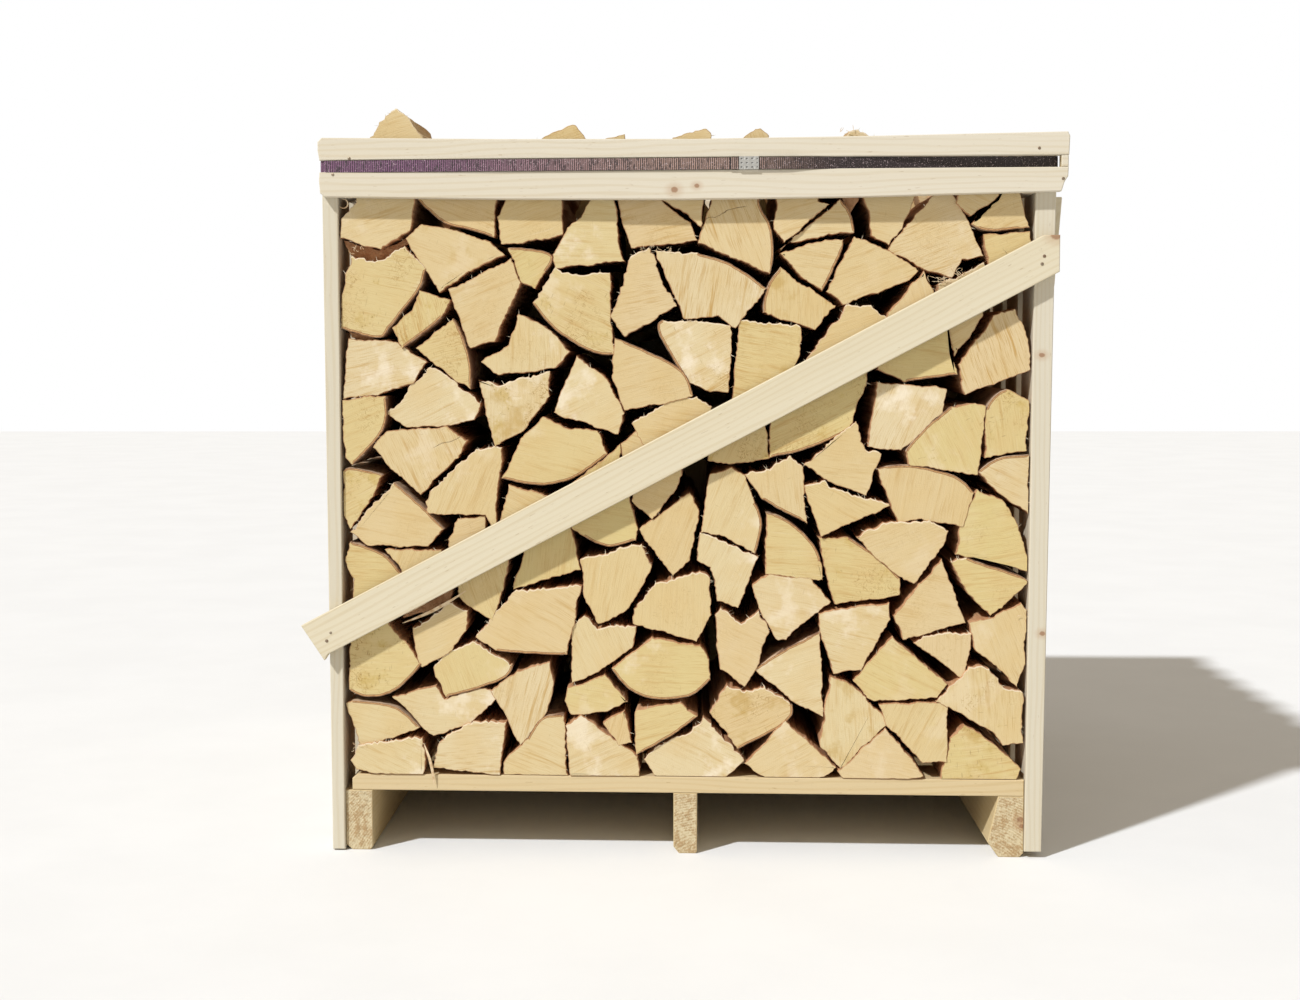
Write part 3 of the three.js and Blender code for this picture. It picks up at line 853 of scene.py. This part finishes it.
def crossing(a, b, c, d):
    """Whether the line from a to b crosses the line from c to d"""
    def side(p, q, r):
        return (q.x - p.x) * (r.y - p.y) - (q.y - p.y) * (r.x - p.x)
    return side(a, b, c) * side(a, b, d) < 0 and side(c, d, a) * side(c, d, b) < 0


def rim_widths(ring, normals):
    """How far in from each point the flat of the end starts: less where a corner is too sharp for it"""
    size = len(ring)
    widest, share, tries, reach, ease = 0.0030, 0.30, 6, 16, 0.45
    widths = [min(widest, thickness_inward(ring, normals, i, 0.02) * share) for i in range(size)]
    for _ in range(tries):
        inner = [p - n * w for p, n, w in zip(ring, normals, widths)]
        tight = set()
        for i in range(size):
            for j in range(i + 2, i + reach):
                if crossing(inner[i], inner[(i + 1) % size], inner[j % size], inner[(j + 1) % size]):
                    tight.update(k % size for k in range(i - 1, j + 3))
        if not tight:
            break
        for k in tight:
            widths[k] *= ease
    return widths


def keep_inside(x, z):
    """Holds a log's point within the slats, and within the side rails near the top"""
    flare = max(0.0, min(z - 0.5, 0.4)) * 0.002
    wide = LOAD_REACH_TOP if z > SIDE_RAIL_UNDERSIDE else LOAD_REACH + flare
    return max(-wide - LEFT_EXTRA, min(wide, x)), max(z, LOAD_FLOOR + 0.0002)


# how far the sawn arris and the shoulder behind it stand back from each end
ARRIS = 0.0012
SHOULDER = 0.010
END, SPLIT, BARK = range(3)      # places of the three finishes in a log's mesh


def pith_of(ring, skin, middle):
    """Where the growth rings have their centre: across from the bark, or beyond the sharpest corner"""
    barked = [p for p, bark in zip(ring, skin) if bark]
    if barked:
        outer = sum(barked, Vector((0.0, 0.0))) / len(barked)
        return middle + (middle - outer).normalized() * 0.055
    sharp = max(ring, key=lambda p: (p - middle).length)
    return sharp + (sharp - middle).normalized() * 0.01


def log_depths(length, rings):
    """Depths of a log's rings of points, from its front end to its back end"""
    between = rings - 4
    span = length - 2 * SHOULDER
    depths = [0.0, ARRIS, SHOULDER]
    depths += [SHOULDER + span * (k + 1) / (between + 1) for k in range(between)]
    return depths + [length - SHOULDER, length - ARRIS, length]


def torn_away(p, depth, length, seed):
    """How far the split side stands out at p, more where it lies open at the top of the crate"""
    loose = 0.0032 if p.y < 0.99 else 0.0100
    grain = noise.noise(Vector((p.x * 75, depth * 7, p.y * 75 + seed)))
    grain += 0.5 * noise.noise(Vector((p.x * 210, depth * 16, p.y * 210 + seed)))
    return (grain - 0.25) * loose * min(1.0, depth / 0.03, (length - depth) / 0.02)


def make_log(name, tags, points, bark, y_front, y_back, step, rings, rng, gap):
    """The mesh of one split log. Its end is points; it tapers, bows and twists a little on its way back."""
    seed = rng.uniform(0, 100)
    ring, skin, normals = outline(points, bark, step, 0.0 if "u" in tags else gap, seed, "f" in tags)
    size = len(ring)
    middle = sum(ring, Vector((0.0, 0.0))) / size
    pith = pith_of(ring, skin, middle)
    turn = rng.uniform(-0.5, 0.5) + (math.pi / 2 if rng.random() < 0.35 else 0.0)
    tilt = (rng.uniform(-0.018, 0.018), rng.uniform(-0.018, 0.018))
    drift = Vector((rng.uniform(-0.002, 0.002), rng.uniform(-0.001, 0.002)))
    twist = rng.uniform(-0.02, 0.02)
    bow = Vector((rng.uniform(-0.0025, 0.0025), rng.uniform(-0.001, 0.004) if middle.y > 0.93 else 0.0))
    taper = rng.uniform(0.00, 0.015)

    points3, faces, finishes = [], [], []
    length = y_back - y_front
    depths = log_depths(length, rings)
    levels = len(depths)
    for k, depth in enumerate(depths):
        t = depth / length
        shrink = 1.0 - taper * t
        c, s = math.cos(twist * t), math.sin(twist * t)
        at_end = k in (0, levels - 1)
        for i in range(size):
            p = ring[i] - middle
            p = Vector((p.x * c - p.y * s, p.x * s + p.y * c)) * shrink
            torn_out = 0.0 if at_end or skin[i] else torn_away(ring[i], depth, length, seed)
            rounding = 0.0007 if at_end else 0.0
            p = p + middle + drift * t + bow * math.sin(math.pi * t) + normals[i] * (torn_out - rounding)
            x, z = keep_inside(p.x, p.y)
            lean = (tilt[0] * (x - middle.x) + tilt[1] * (z - middle.y)) if k < 2 else 0.0
            points3.append((x, y_front + depth + lean, z))
    for k in range(levels - 1):
        for i in range(size):
            j = (i + 1) % size
            faces.append((k * size + i, (k + 1) * size + i, (k + 1) * size + j, k * size + j))
            finishes.append(BARK if skin[i] else SPLIT)

    # both ends: a narrow rim round a flat cap
    rim = [0.0] * len(points3)
    torn = [0.0] * len(points3)
    cap_finish = SPLIT if "u" in tags else END
    widths = rim_widths(ring, normals)
    for base, front in ((0, True), ((levels - 1) * size, False)):
        inner = len(points3)
        for i in range(size):
            x, y, z = points3[base + i]
            points3.append((x - normals[i].x * widths[i], y, z - normals[i].y * widths[i]))
            rim[base + i] = 1.0
            rim.append(0.0)
            torn[base + i] = max(0.0, normals[i].y) if "f" in tags and not skin[i] else 0.0
            torn.append(0.0)
        for i in range(size):
            j = (i + 1) % size
            quad = (base + i, base + j, inner + j, inner + i)
            faces.append(quad if front else quad[::-1])
            finishes.append(BARK if skin[i] else cap_finish)
        cap = tuple(inner + i for i in range(size))
        faces.append(cap if front else cap[::-1])
        finishes.append(cap_finish)

    # torn fibres stand along the upper edges of the front end
    whiskers = rng.randint(5, 10) if "f" in tags else rng.randint(0, 3)
    starts = [i for i in range(size) if not skin[i] and normals[i].y > -0.1]
    for _ in range(whiskers if starts else 0):
        i = rng.choice(starts)
        for face in whisker(points3, points3[i], normals[i], rng):
            faces.append(face)
            finishes.append(SPLIT)
        rim += [0.0] * 4
        torn += [1.0] * 4

    mesh = mesh_of(name, points3, faces, 38)
    for polygon, finish in zip(mesh.polygons, finishes):
        polygon.material_index = finish
    mark_log(mesh, tags, points3, middle, pith, turn, seed, rng)
    for key, values in (("rim", rim), ("torn", torn)):
        mesh.attributes.new(key, "FLOAT", "POINT").data.foreach_set("value", values)
    return mesh


def whisker(points3, foot, n, rng):
    """Adds the points of one torn fibre that stands on the end's edge at foot, and gives its faces"""
    x, y, z = foot
    side = Vector((-n.y, n.x)) * rng.uniform(-1.2, 1.2)
    way = (n + side).normalized() * rng.uniform(0.003, 0.009)
    tip = (x + way.x, max(-0.4992, y + rng.uniform(-0.002, 0.002)), z + way.y)
    w = rng.uniform(0.0003, 0.0007)
    first = len(points3)
    rx, ry, rz = x - n.x * 0.001, y + 0.0009, z - n.y * 0.001
    points3 += [(rx - w, ry, rz), (rx + w, ry, rz + w), (rx, ry + 1.6 * w, rz - w), tip]
    return [tuple(first + v for v in face) for face in ((0, 1, 2), (0, 3, 1), (1, 3, 2), (2, 3, 0))]


def mark_log(mesh, tags, points3, middle, pith, turn, seed, rng):
    """Writes what the log's finishes read: places from the pith and along the saw, tints and flaws"""
    def share(tag, low, most_without):
        return rng.uniform(low, 1.0) if tag in tags else rng.uniform(0.0, most_without)

    tint = (share("y", 0.55, 0.35), share("d", 0.65, 0.35), share("l", 0.60, 0.45))
    flaw = (float("c" in tags), float("k" in tags), share("s", 0.7, 0.5))
    cosine, sine = math.cos(turn), math.sin(turn)
    heart_values, saw_values = [], []
    for x, y, z in points3:
        dx, dz = x - middle.x, z - middle.y
        heart_values += [x - pith.x, y, z - pith.y]
        saw_values += [dx * sine + dz * cosine + seed, y, dx * cosine - dz * sine]
    for key, values in (("heart", heart_values), ("saw", saw_values),
                        ("tint", tint * len(points3)), ("flaw", flaw * len(points3))):
        mesh.attributes.new(key, "FLOAT_VECTOR", "POINT").data.foreach_set("vector", values)
    pale_bark = 1.0 if "w" in tags or rng.random() < 0.3 else 0.0
    mesh.attributes.new("skin", "FLOAT", "POINT").data.foreach_set("value", [pale_bark] * len(points3))


def log_materials():
    wood = bpy.context.scene.crate_firewood
    return [bpy.data.materials.get(name) or make(tuple(colour)) for name, make, colour in (
        ("birch_end", log_end_material, wood.end),
        ("birch_split", log_split_material, wood.split),
        ("birch_bark", log_bark_material, wood.bark))]


def stack_rank(rank, label, squeeze, step, rings):
    """Lays one rank of logs in the place of its CAD solid.

    squeeze is 0 for the front rank, whose ends aren't turned round. step is the distance between points round
    an end, and rings is the number of such rounds of points along a log.
    """
    wood = bpy.context.scene.crate_firewood
    node = f"firewood_rank_{rank}"
    low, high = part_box(node)
    front, set_back = low.y + 0.0016, 0.018
    rng = random.Random(wood.seed + rank)
    for name, tags, points, bark in read_logs():
        if squeeze:
            points, bark = mirrored(points, bark, squeeze)
        start = front + rng.random() ** 1.5 * wood.setback + (set_back if "u" in tags else 0.0)
        stop = high.y - rng.random() * wood.setback
        mesh = make_log(f"log_{label}_{name}", tags, points, bark, start, stop, step, rings, rng, wood.gap)
        put_in_crate(f"log_{label}_{name}", mesh, log_materials(), (node,))


# ---------------------------------------------------------------- strap, seal, nails, splinters
def strap_path():
    """Middle of the strap in plan, from its hidden inner end round to its lapped outer end"""
    plane = FRONT_FACE / MM
    inner, outer = plane - 2.1, plane - 3.4
    left, right, back = -525.8, 531.8, 500.9        # outside the slats, in millimetres like all of the path
    bend = 1.2
    path = [(125, inner), (-250, inner), (-440, plane - 0.6), (-515, plane + 1), (-523, plane + 6),
            (left, plane + 18), (left, -460)]
    for cx, start in ((left + bend, 180), (right - bend, 90)):
        path += [(cx + bend * math.cos(math.radians(start - 22.5 * i)),
                  back - bend + bend * math.sin(math.radians(start - 22.5 * i))) for i in range(5)]
    path += [(right, -494), (531, -501.6), (519, -503), (400, -506)]
    path += [(210, plane + 1), (150, outer), (66, outer)]
    return [Vector((x * MM, y * MM)) for x, y in path]


def build_strap():
    held = bpy.context.scene.crate_strap
    path = strap_path()
    step = held.rib_pitch / 2
    stations = []
    for a, b in zip(path, path[1:]):
        parts = max(1, round((b - a).length / step))
        stations += [a.lerp(b, i / parts) for i in range(parts)]
    stations.append(path[-1])
    sag = 0.0009            # how far the lower edge hangs below the CAD strap's
    half = 0.0005           # half the strap's thickness
    bottom, top = STRAP_BOX[0].z - sag, STRAP_BOX[1].z
    points, faces = [], []
    last = len(stations) - 1
    for i, p in enumerate(stations):
        along = (stations[min(i + 1, last)] - stations[max(i - 1, 0)]).normalized()
        out = Vector((along.y, -along.x))
        if i < last and out.dot(p) < 0:
            out = -out
        rib = held.rib_height if i % 2 else 0.0
        edge = 0.00025 if i % 2 else 0.0
        face_out = p + out * (half - held.rib_height + rib)
        face_in = p - out * half
        low, high = bottom + edge, top - edge
        for q, z in ((face_out, low), (face_out, high), (face_in, high), (face_in, low)):
            points.append((q.x, q.y, z))
    for i in range(last):
        for k in range(4):
            a, b = i * 4 + k, i * 4 + (k + 1) % 4
            faces.append((a, b, b + 4, a + 4))
    faces += [(3, 2, 1, 0), tuple(last * 4 + k for k in range(4))]
    mesh = mesh_of("strap_band", points, faces, 50)
    # crest points of the ribs; the strap's material darkens all other points as painted shade in the hollows
    ribs = [1.0 if (v // 4) % 2 and v % 4 < 2 else 0.0 for v in range(len(points))]
    mesh.attributes.new("rib", "FLOAT", "POINT").data.foreach_set("value", ribs)
    put_in_crate("strap_band", mesh, [strap_material(tuple(held.strap))], ("strap",))


def build_seal():
    """A folded steel sleeve, crimped into small pyramids across its face, with painted shade in the crimps"""
    low, high = SEAL_BOX
    wall = 0.0009
    columns = 70
    dent_depth, dent_pitch_x, dent_pitch_z = 0.00055, 0.0076, 0.0060
    notch_depth, notch_pitch, notch_from = 0.0004, 0.014, 0.0055
    points, faces, painted_dent_shade = [], [], []
    width = high.x - low.x
    corners = [(low.y, low.z), (low.y, high.z), (high.y, high.z), (high.y, low.z)]
    loop = []
    for a, b in zip(corners, corners[1:] + corners[:1]):
        parts = 26 if a[0] == b[0] == low.y else (5 if a[1] == b[1] else 6)
        loop += [(a[0] + (b[0] - a[0]) * i / parts, a[1] + (b[1] - a[1]) * i / parts) for i in range(parts)]
    ring = len(loop)
    mid_y, mid_z = (low.y + high.y) / 2, (low.z + high.z) / 2
    for shell in (0.0, wall):
        for c in range(columns + 1):
            x = low.x + width * c / columns
            for y, z in loop:
                yy = y + (shell if y < mid_y else -shell)
                zz = z + (shell if z < mid_z else -shell)
                dark = 0.0
                if y == low.y and shell == 0.0:
                    u, v = (x - low.x - 0.0035) / dent_pitch_x, (z - mid_z) / dent_pitch_z
                    dent = max(0.0, math.cos(2 * math.pi * u)) * max(0.0, math.cos(2 * math.pi * v))
                    edge = min(1.0, min(x - low.x, high.x - x) / 0.003)
                    yy += dent_depth * dent * edge
                    # painted shade: each crimp's hollow is also written out, for the seal's steel to darken
                    dark = dent * edge
                    place = (x - low.x - notch_pitch / 2) / notch_pitch
                    notch = max(0.0, math.cos(2 * math.pi * place)) ** 8
                    if abs(z - mid_z) > notch_from:
                        yy += notch_depth * notch
                points.append((x, yy, zz))
                painted_dent_shade.append(dark)
    shell_size = (columns + 1) * ring
    for c in range(columns):
        for i in range(ring):
            j = (i + 1) % ring
            a, b = c * ring + i, c * ring + j
            faces.append((a, a + ring, b + ring, b))
            faces.append((shell_size + b, shell_size + b + ring, shell_size + a + ring, shell_size + a))
    for c, flip in ((0, False), (columns, True)):
        for i in range(ring):
            j = (i + 1) % ring
            a, b = c * ring + i, c * ring + j
            quad = (a, b, shell_size + b, shell_size + a)
            faces.append(quad[::-1] if flip else quad)
    mesh = mesh_of("strap_seal_sleeve", points, faces, 30)
    mesh.attributes.new("dent", "FLOAT", "POINT").data.foreach_set("value", painted_dent_shade)
    steel = steel_material("seal_steel", tuple(bpy.context.scene.crate_strap.seal), 0.0, 1.0)
    put_in_crate("strap_seal_sleeve", mesh, [steel], ("strap_seal",))


def nail_head(points, faces, centre, out, radius, rng):
    """Adds one shallow domed head, sunk a little at its edge"""
    out = Vector(out).normalized()
    side = out.cross(Vector((0, 0, 1))).normalized()
    up = side.cross(out)
    first = len(points)
    sides = 12
    tip = (rng.uniform(-0.08, 0.08), rng.uniform(-0.08, 0.08))
    rows = ((1.0, -0.0012), (1.0, 0.0002), (0.93, 0.00055), (0.62, 0.00082), (0.28, 0.00092))
    for share, lift in rows:
        for i in range(sides):
            a = math.tau * i / sides
            p = centre + (side * math.cos(a) + up * math.sin(a)) * radius * share
            tilt = 1.0 + tip[0] * math.cos(a) * share + tip[1] * math.sin(a) * share
            points.append(p + out * lift * tilt)
    for k in range(len(rows) - 1):
        base = first + k * sides
        for i in range(sides):
            j = (i + 1) % sides
            faces.append((base + i, base + j, base + sides + j, base + sides + i))
    faces.append(tuple(first + i for i in reversed(range(sides))))
    faces.append(tuple(first + (len(rows) - 1) * sides + i for i in range(sides)))


def slat_face(side, z):
    """x of a side slat's outer face at height z; side is -1 for left and 1 for right"""
    foot, top, low, high = (-0.520, -0.525, 0.002, 1.044) if side < 0 else (0.522, 0.531, 0.010, 1.044)
    return foot + (top - foot) * (z - low) / (high - low)


def build_nails():
    held = bpy.context.scene.crate_nails
    rng = random.Random(5)
    steel = steel_material("nail_steel", tuple(held.steel), 0.8, 0.6)
    # x and z in millimetres, of the nails in the rails and then of those in the brace
    front = [(-481, 1018), (-505, 995), (502, 1025), (536, 982)]
    front += [(-516, 329), (-522, 317), (511, 873), (508, 862)]
    back = [(-506, 1026), (-503, 978), (507, 1028), (504, 980)]
    back += [(-510, 880), (-503, 868), (509, 325), (501, 313)]
    rows = {"nails_front": [(Vector((x * MM, FRONT_FACE, z * MM)), (0, -1, 0)) for x, z in front],
            "nails_back": [(Vector((x * MM, BACK_FACE, z * MM)), (0, 1, 0)) for x, z in back]}
    for side, label in ((-1, "left"), (1, "right")):
        spots = []
        for n in range(1, 9):
            low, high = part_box(f"slat_{label}_{n}")
            for z in (0.038, 0.060, 0.981, 1.027):
                y = (low.y + high.y) / 2 + rng.uniform(-0.022, 0.022)
                place = Vector((slat_face(side, z), y, z + rng.uniform(-0.004, 0.004)))
                spots.append((place, (side, 0, 0)))
        rows[f"nails_{label}"] = spots
    for name, spots in rows.items():
        points, faces = [], []
        for centre, out in spots:
            nail_head(points, faces, centre, out, held.head * rng.uniform(0.85, 1.1), rng)
        put_in_crate(name, mesh_of(name, points, faces, 40), [steel])


def sliver(points, faces, spine, width, thick):
    """Adds a closed strip along spine that narrows to a point at both ends"""
    first = len(points)
    last = len(spine) - 1
    for i, p in enumerate(spine):
        along = (spine[min(i + 1, last)] - spine[max(i - 1, 0)]).normalized()
        side = along.cross(Vector((0, -1, 0))).normalized()
        taper = max(0.12, math.sin(math.pi * (0.06 + 0.88 * i / last)))
        for u, v in ((-1, -1), (1, -1), (1, 1), (-1, 1)):
            points.append(p + side * (u * width / 2 * taper) + Vector((0, 1, 0)) * (v * thick / 2 * taper))
    for i in range(last):
        for k in range(4):
            a, b = first + i * 4 + k, first + i * 4 + (k + 1) % 4
            faces.append((a, a + 4, b + 4, b))
    faces.append((first, first + 1, first + 2, first + 3))
    faces.append(tuple(first + last * 4 + k for k in (3, 2, 1, 0)))


def build_splinters():
    """The few loose slivers and curls that hang on the front of the load"""
    rng = random.Random(23)
    points, faces = [], []

    def spine(start, end, y, bow, steps=14, lift=0.0):
        """A bowed line between two places, which are x and z in millimetres"""
        a, b = Vector((start[0] * MM, y, start[1] * MM)), Vector((end[0] * MM, y, end[1] * MM))
        inward = Vector((0, 1, 0))
        side = (b - a).cross(inward).normalized()
        line = []
        for i in range(steps + 1):
            swell = math.sin(math.pi * i / steps)
            line.append(a.lerp(b, i / steps) + side * (bow * swell) - inward * (lift * swell))
        return line

    sliver(points, faces, spine((-383, 162), (-368, 100), -0.4985, 0.003, lift=0.001), 0.0042, 0.0014)
    sliver(points, faces, spine((-413, 341), (-318, 390), -0.4990, -0.004), 0.0048, 0.0014)
    sliver(points, faces, spine((-440, 346), (-352, 392), -0.4990, -0.007), 0.0016, 0.0010)
    curl = [Vector((-0.494 + 0.0065 * math.cos(a), -0.4975 + 0.0006 * a, 0.955 + 0.0065 * math.sin(a)))
            for a in [math.radians(-150 + 14 * i) for i in range(20)]]
    sliver(points, faces, curl, 0.0018, 0.0006)
    # tufts of torn fibres: middle in millimetres, spread and number
    tufts = (((372, 840), 9, 22), ((398, 850), 8, 16), ((500, 360), 6, 10), ((-478, 889), 7, 8),
             ((240, 1052), 8, 8), ((-30, 887), 10, 12), ((-480, 156), 7, 8))
    for centre, spread, count in tufts:
        for _ in range(count):
            x, z = centre[0] + rng.gauss(0, spread), centre[1] + rng.gauss(0, 2.0)
            a = rng.uniform(-0.4, 1.2) * math.pi
            reach = rng.uniform(4, 10)
            end = (x + reach * math.cos(a), z + reach * math.sin(a))
            hair = spine((x, z), end, -0.4975 + rng.uniform(-0.001, 0.002), rng.uniform(-0.002, 0.002), 5)
            sliver(points, faces, hair, 0.0007, 0.0005)
    put_in_crate("splinters", mesh_of("splinters", points, faces, 50), [splinter_material()])


# ---------------------------------------------------------------- operators
class PieceOperator(bpy.types.Operator):
    """Shared by every step: builds, and stops with an error if a piece can't be made"""
    bl_options = {"REGISTER", "UNDO"}

    def execute(self, context):
        self.build(context.scene)
        return {"FINISHED"}


QUARTER = math.pi / 2
UPRIGHT = (0.0, QUARTER, 0.0)
DEEP = (0.0, 0.0, -QUARTER)


class CRATE_OT_bearers(PieceOperator):
    """Finish the three bearers"""
    bl_idname = "crate.bearers"
    bl_label = "Bearers"

    def build(self, scene):
        wood = sawn_board("bearer_wood", tuple(scene.crate_boards.bearer), DEEP, dirt=0.45,
                          knots=[((0.492, -0.494, 0.056), 0.005), ((0.494, -0.494, 0.046), 0.004)])
        finish_nodes(nodes_named("bearer_"), wood)


class CRATE_OT_deck(PieceOperator):
    """Finish the deck boards"""
    bl_idname = "crate.deck"
    bl_label = "Deck"

    def build(self, scene):
        wood = sawn_board("deck_wood", tuple(scene.crate_boards.deck), dirt=0.3)
        finish_nodes(nodes_named("deck_board_"), wood)


class CRATE_OT_slats(PieceOperator):
    """Finish the upright slats of both side walls"""
    bl_idname = "crate.slats"
    bl_label = "Slats"

    def build(self, scene):
        knots = [((0.519, -0.500, 0.331), 0.004), ((0.513, -0.500, 0.733), 0.004),
                 ((-0.523, -0.21, 0.62), 0.009), ((-0.522, 0.17, 0.34), 0.008),
                 ((0.526, 0.06, 0.55), 0.009), ((0.524, -0.33, 0.27), 0.007)]
        wood = sawn_board("slat_wood", tuple(scene.crate_boards.slat), UPRIGHT, knots)
        finish_nodes(nodes_named("slat_"), wood)


class CRATE_OT_rails(PieceOperator):
    """Finish the rails round the top and the block that closes the strap channel"""
    bl_idname = "crate.rails"
    bl_label = "Rails"

    def build(self, scene):
        colour = tuple(scene.crate_boards.rail)
        knots = [((-0.013, FRONT_FACE, 0.970), 0.005), ((0.019, FRONT_FACE, 0.9755), 0.0035),
                 ((-0.19, BACK_FACE, 0.985), 0.006), ((0.31, BACK_FACE, 1.03), 0.005)]
        finish_nodes(nodes_named("front_rail_") + nodes_named("back_rail_") + ["rail_block"],
                     sawn_board("rail_wood", colour, knots=knots, dirt=0.12))
        finish_nodes(nodes_named("side_rail_"), sawn_board("side_rail_wood", colour, DEEP, dirt=0.2))


class CRATE_OT_braces(PieceOperator):
    """Finish the diagonal braces"""
    bl_idname = "crate.braces"
    bl_label = "Braces"

    def build(self, scene):
        colour = tuple(scene.crate_boards.brace)
        for name, turn, knots in (
                ("front_brace", (0.0, math.radians(27.7), 0.0), [((0.527, FRONT_FACE, 0.902), 0.007)]),
                ("back_brace", (0.0, math.radians(-27.7), 0.0), [((0.1, BACK_FACE, 0.53), 0.008)]),
                ("left_brace", (math.radians(-39.4), 0.0, -QUARTER), []),
                ("right_brace", (math.radians(40.2), 0.0, -QUARTER), [])):
            finish_nodes([name], sawn_board(f"{name}_wood", colour, turn, knots, dirt=0.14))


class CRATE_OT_strap(PieceOperator):
    """Build the ribbed strap"""
    bl_idname = "crate.strap"
    bl_label = "Strap"

    def build(self, scene):
        build_strap()


class CRATE_OT_seal(PieceOperator):
    """Build the crimped steel seal"""
    bl_idname = "crate.seal"
    bl_label = "Seal"

    def build(self, scene):
        build_seal()


class CRATE_OT_nails(PieceOperator):
    """Drive the nails"""
    bl_idname = "crate.nails"
    bl_label = "Nails"

    def build(self, scene):
        build_nails()


class CRATE_OT_front_rank(PieceOperator):
    """Stack the front rank of logs"""
    bl_idname = "crate.front_rank"
    bl_label = "Front rank"

    def build(self, scene):
        stack_rank(1, "front", squeeze=0.0, step=0.004, rings=9)


class CRATE_OT_middle_rank(PieceOperator):
    """Stack the middle rank of logs"""
    bl_idname = "crate.middle_rank"
    bl_label = "Middle rank"

    def build(self, scene):
        stack_rank(2, "middle", squeeze=0.965, step=0.010, rings=6)


class CRATE_OT_back_rank(PieceOperator):
    """Stack the back rank of logs"""
    bl_idname = "crate.back_rank"
    bl_label = "Back rank"

    def build(self, scene):
        stack_rank(3, "back", squeeze=0.995, step=0.007, rings=7)


class CRATE_OT_splinters(PieceOperator):
    """Scatter the loose splinters"""
    bl_idname = "crate.splinters"
    bl_label = "Splinters"

    def build(self, scene):
        build_splinters()


KEY_WAY = Vector((17.0, 18.0, -25.0))       # the way the key light shines
CAMERA_PLACE = (0.0059, -3.098, 0.7357)
CAMERA_TURN = (math.pi / 2 - 0.0644, 0.0023, 0.0514)
CAMERA_LENS = 49.56
CAMERA_SHIFT = (0.0422, -0.0233)
STUDIO_GLOW = (1.0, 0.89, 0.74)             # colour of the light all round
WHITE = (1.0, 1.0, 1.0)


class CRATE_OT_stage(PieceOperator):
    """Set the floor, the light and the camera"""
    bl_idname = "crate.stage"
    bl_label = "Stage"

    def build(self, scene):
        held = scene.crate_stage
        reach = 14.0
        corners = [(-reach, -reach, 0), (reach, -reach, 0), (reach, reach, 0), (-reach, reach, 0)]
        mesh = mesh_of("floor", corners, [(0, 1, 2, 3)])
        mesh.materials.append(floor_material(tuple(held.floor)))
        floor = bpy.data.objects.new("floor", mesh)
        scene.collection.objects.link(floor)

        world = bpy.data.worlds.new("studio")
        world.use_nodes = True
        scene.world = world
        tree = Tree(world.node_tree)
        background = world.node_tree.nodes["Background"]
        seen = tree.node("ShaderNodeLightPath").outputs["Is Camera Ray"]
        tree.put(background.inputs["Color"], tree.mix(seen, STUDIO_GLOW, WHITE))
        strength = tree.plus(held.fill, tree.times(seen, 1.0 - held.fill))      # the background stays white
        tree.put(background.inputs["Strength"], strength)

        lamp = bpy.data.lights.new("key", "SUN")
        lamp.energy = held.key
        lamp.angle = math.radians(2.5)
        lamp.color = (0.97, 0.985, 1.0)
        key = bpy.data.objects.new("key", lamp)
        key.rotation_mode = "QUATERNION"
        key.rotation_quaternion = KEY_WAY.to_track_quat("-Z", "Y")
        scene.collection.objects.link(key)

        view = bpy.data.cameras.new("camera")
        view.lens = CAMERA_LENS
        view.shift_x, view.shift_y = CAMERA_SHIFT
        camera = bpy.data.objects.new("camera", view)
        camera.location = CAMERA_PLACE
        camera.rotation_euler = CAMERA_TURN
        scene.collection.objects.link(camera)
        scene.camera = camera
        scene.view_settings.view_transform = "Standard"


class CRATE_PT_panel(bpy.types.Panel):
    """Sizes, colours and steps of the firewood crate"""
    bl_idname = "CRATE_PT_panel"
    bl_label = "Firewood crate"
    bl_space_type = "VIEW_3D"
    bl_region_type = "UI"
    bl_category = "Crate"

    def draw(self, context):
        for key, group in SETTINGS.items():
            box = self.layout.box()
            box.label(text=group.__doc__)
            for name in group.__annotations__:
                box.prop(getattr(context.scene, key), name)
        for step in STEPS:
            self.layout.operator(step.bl_idname)


SETTINGS = {
    "crate_boards": CrateBoards,
    "crate_firewood": CrateFirewood,
    "crate_strap": CrateStrap,
    "crate_nails": CrateNails,
    "crate_stage": CrateStage,
}
STEPS = (
    CRATE_OT_bearers, CRATE_OT_deck, CRATE_OT_slats, CRATE_OT_rails, CRATE_OT_braces,
    CRATE_OT_strap, CRATE_OT_seal, CRATE_OT_nails,
    CRATE_OT_front_rank, CRATE_OT_middle_rank, CRATE_OT_back_rank, CRATE_OT_splinters, CRATE_OT_stage,
)


def register():
    for group in SETTINGS.values():
        bpy.utils.register_class(group)
    for key, group in SETTINGS.items():
        setattr(bpy.types.Scene, key, bpy.props.PointerProperty(type=group))
    for step in STEPS:
        bpy.utils.register_class(step)
    bpy.utils.register_class(CRATE_PT_panel)


def unregister():
    bpy.utils.unregister_class(CRATE_PT_panel)
    for step in reversed(STEPS):
        bpy.utils.unregister_class(step)
    for key in SETTINGS:
        delattr(bpy.types.Scene, key)
    for group in reversed(list(SETTINGS.values())):
        bpy.utils.unregister_class(group)


def main():
    register()
    bpy.ops.crate.bearers()
    bpy.ops.crate.deck()
    bpy.ops.crate.slats()
    bpy.ops.crate.rails()
    bpy.ops.crate.braces()
    bpy.ops.crate.strap()
    bpy.ops.crate.seal()
    bpy.ops.crate.nails()
    bpy.ops.crate.front_rank()
    bpy.ops.crate.middle_rank()
    bpy.ops.crate.back_rank()
    bpy.ops.crate.splinters()
    bpy.ops.crate.stage()


if __name__ == "__main__":
    main()
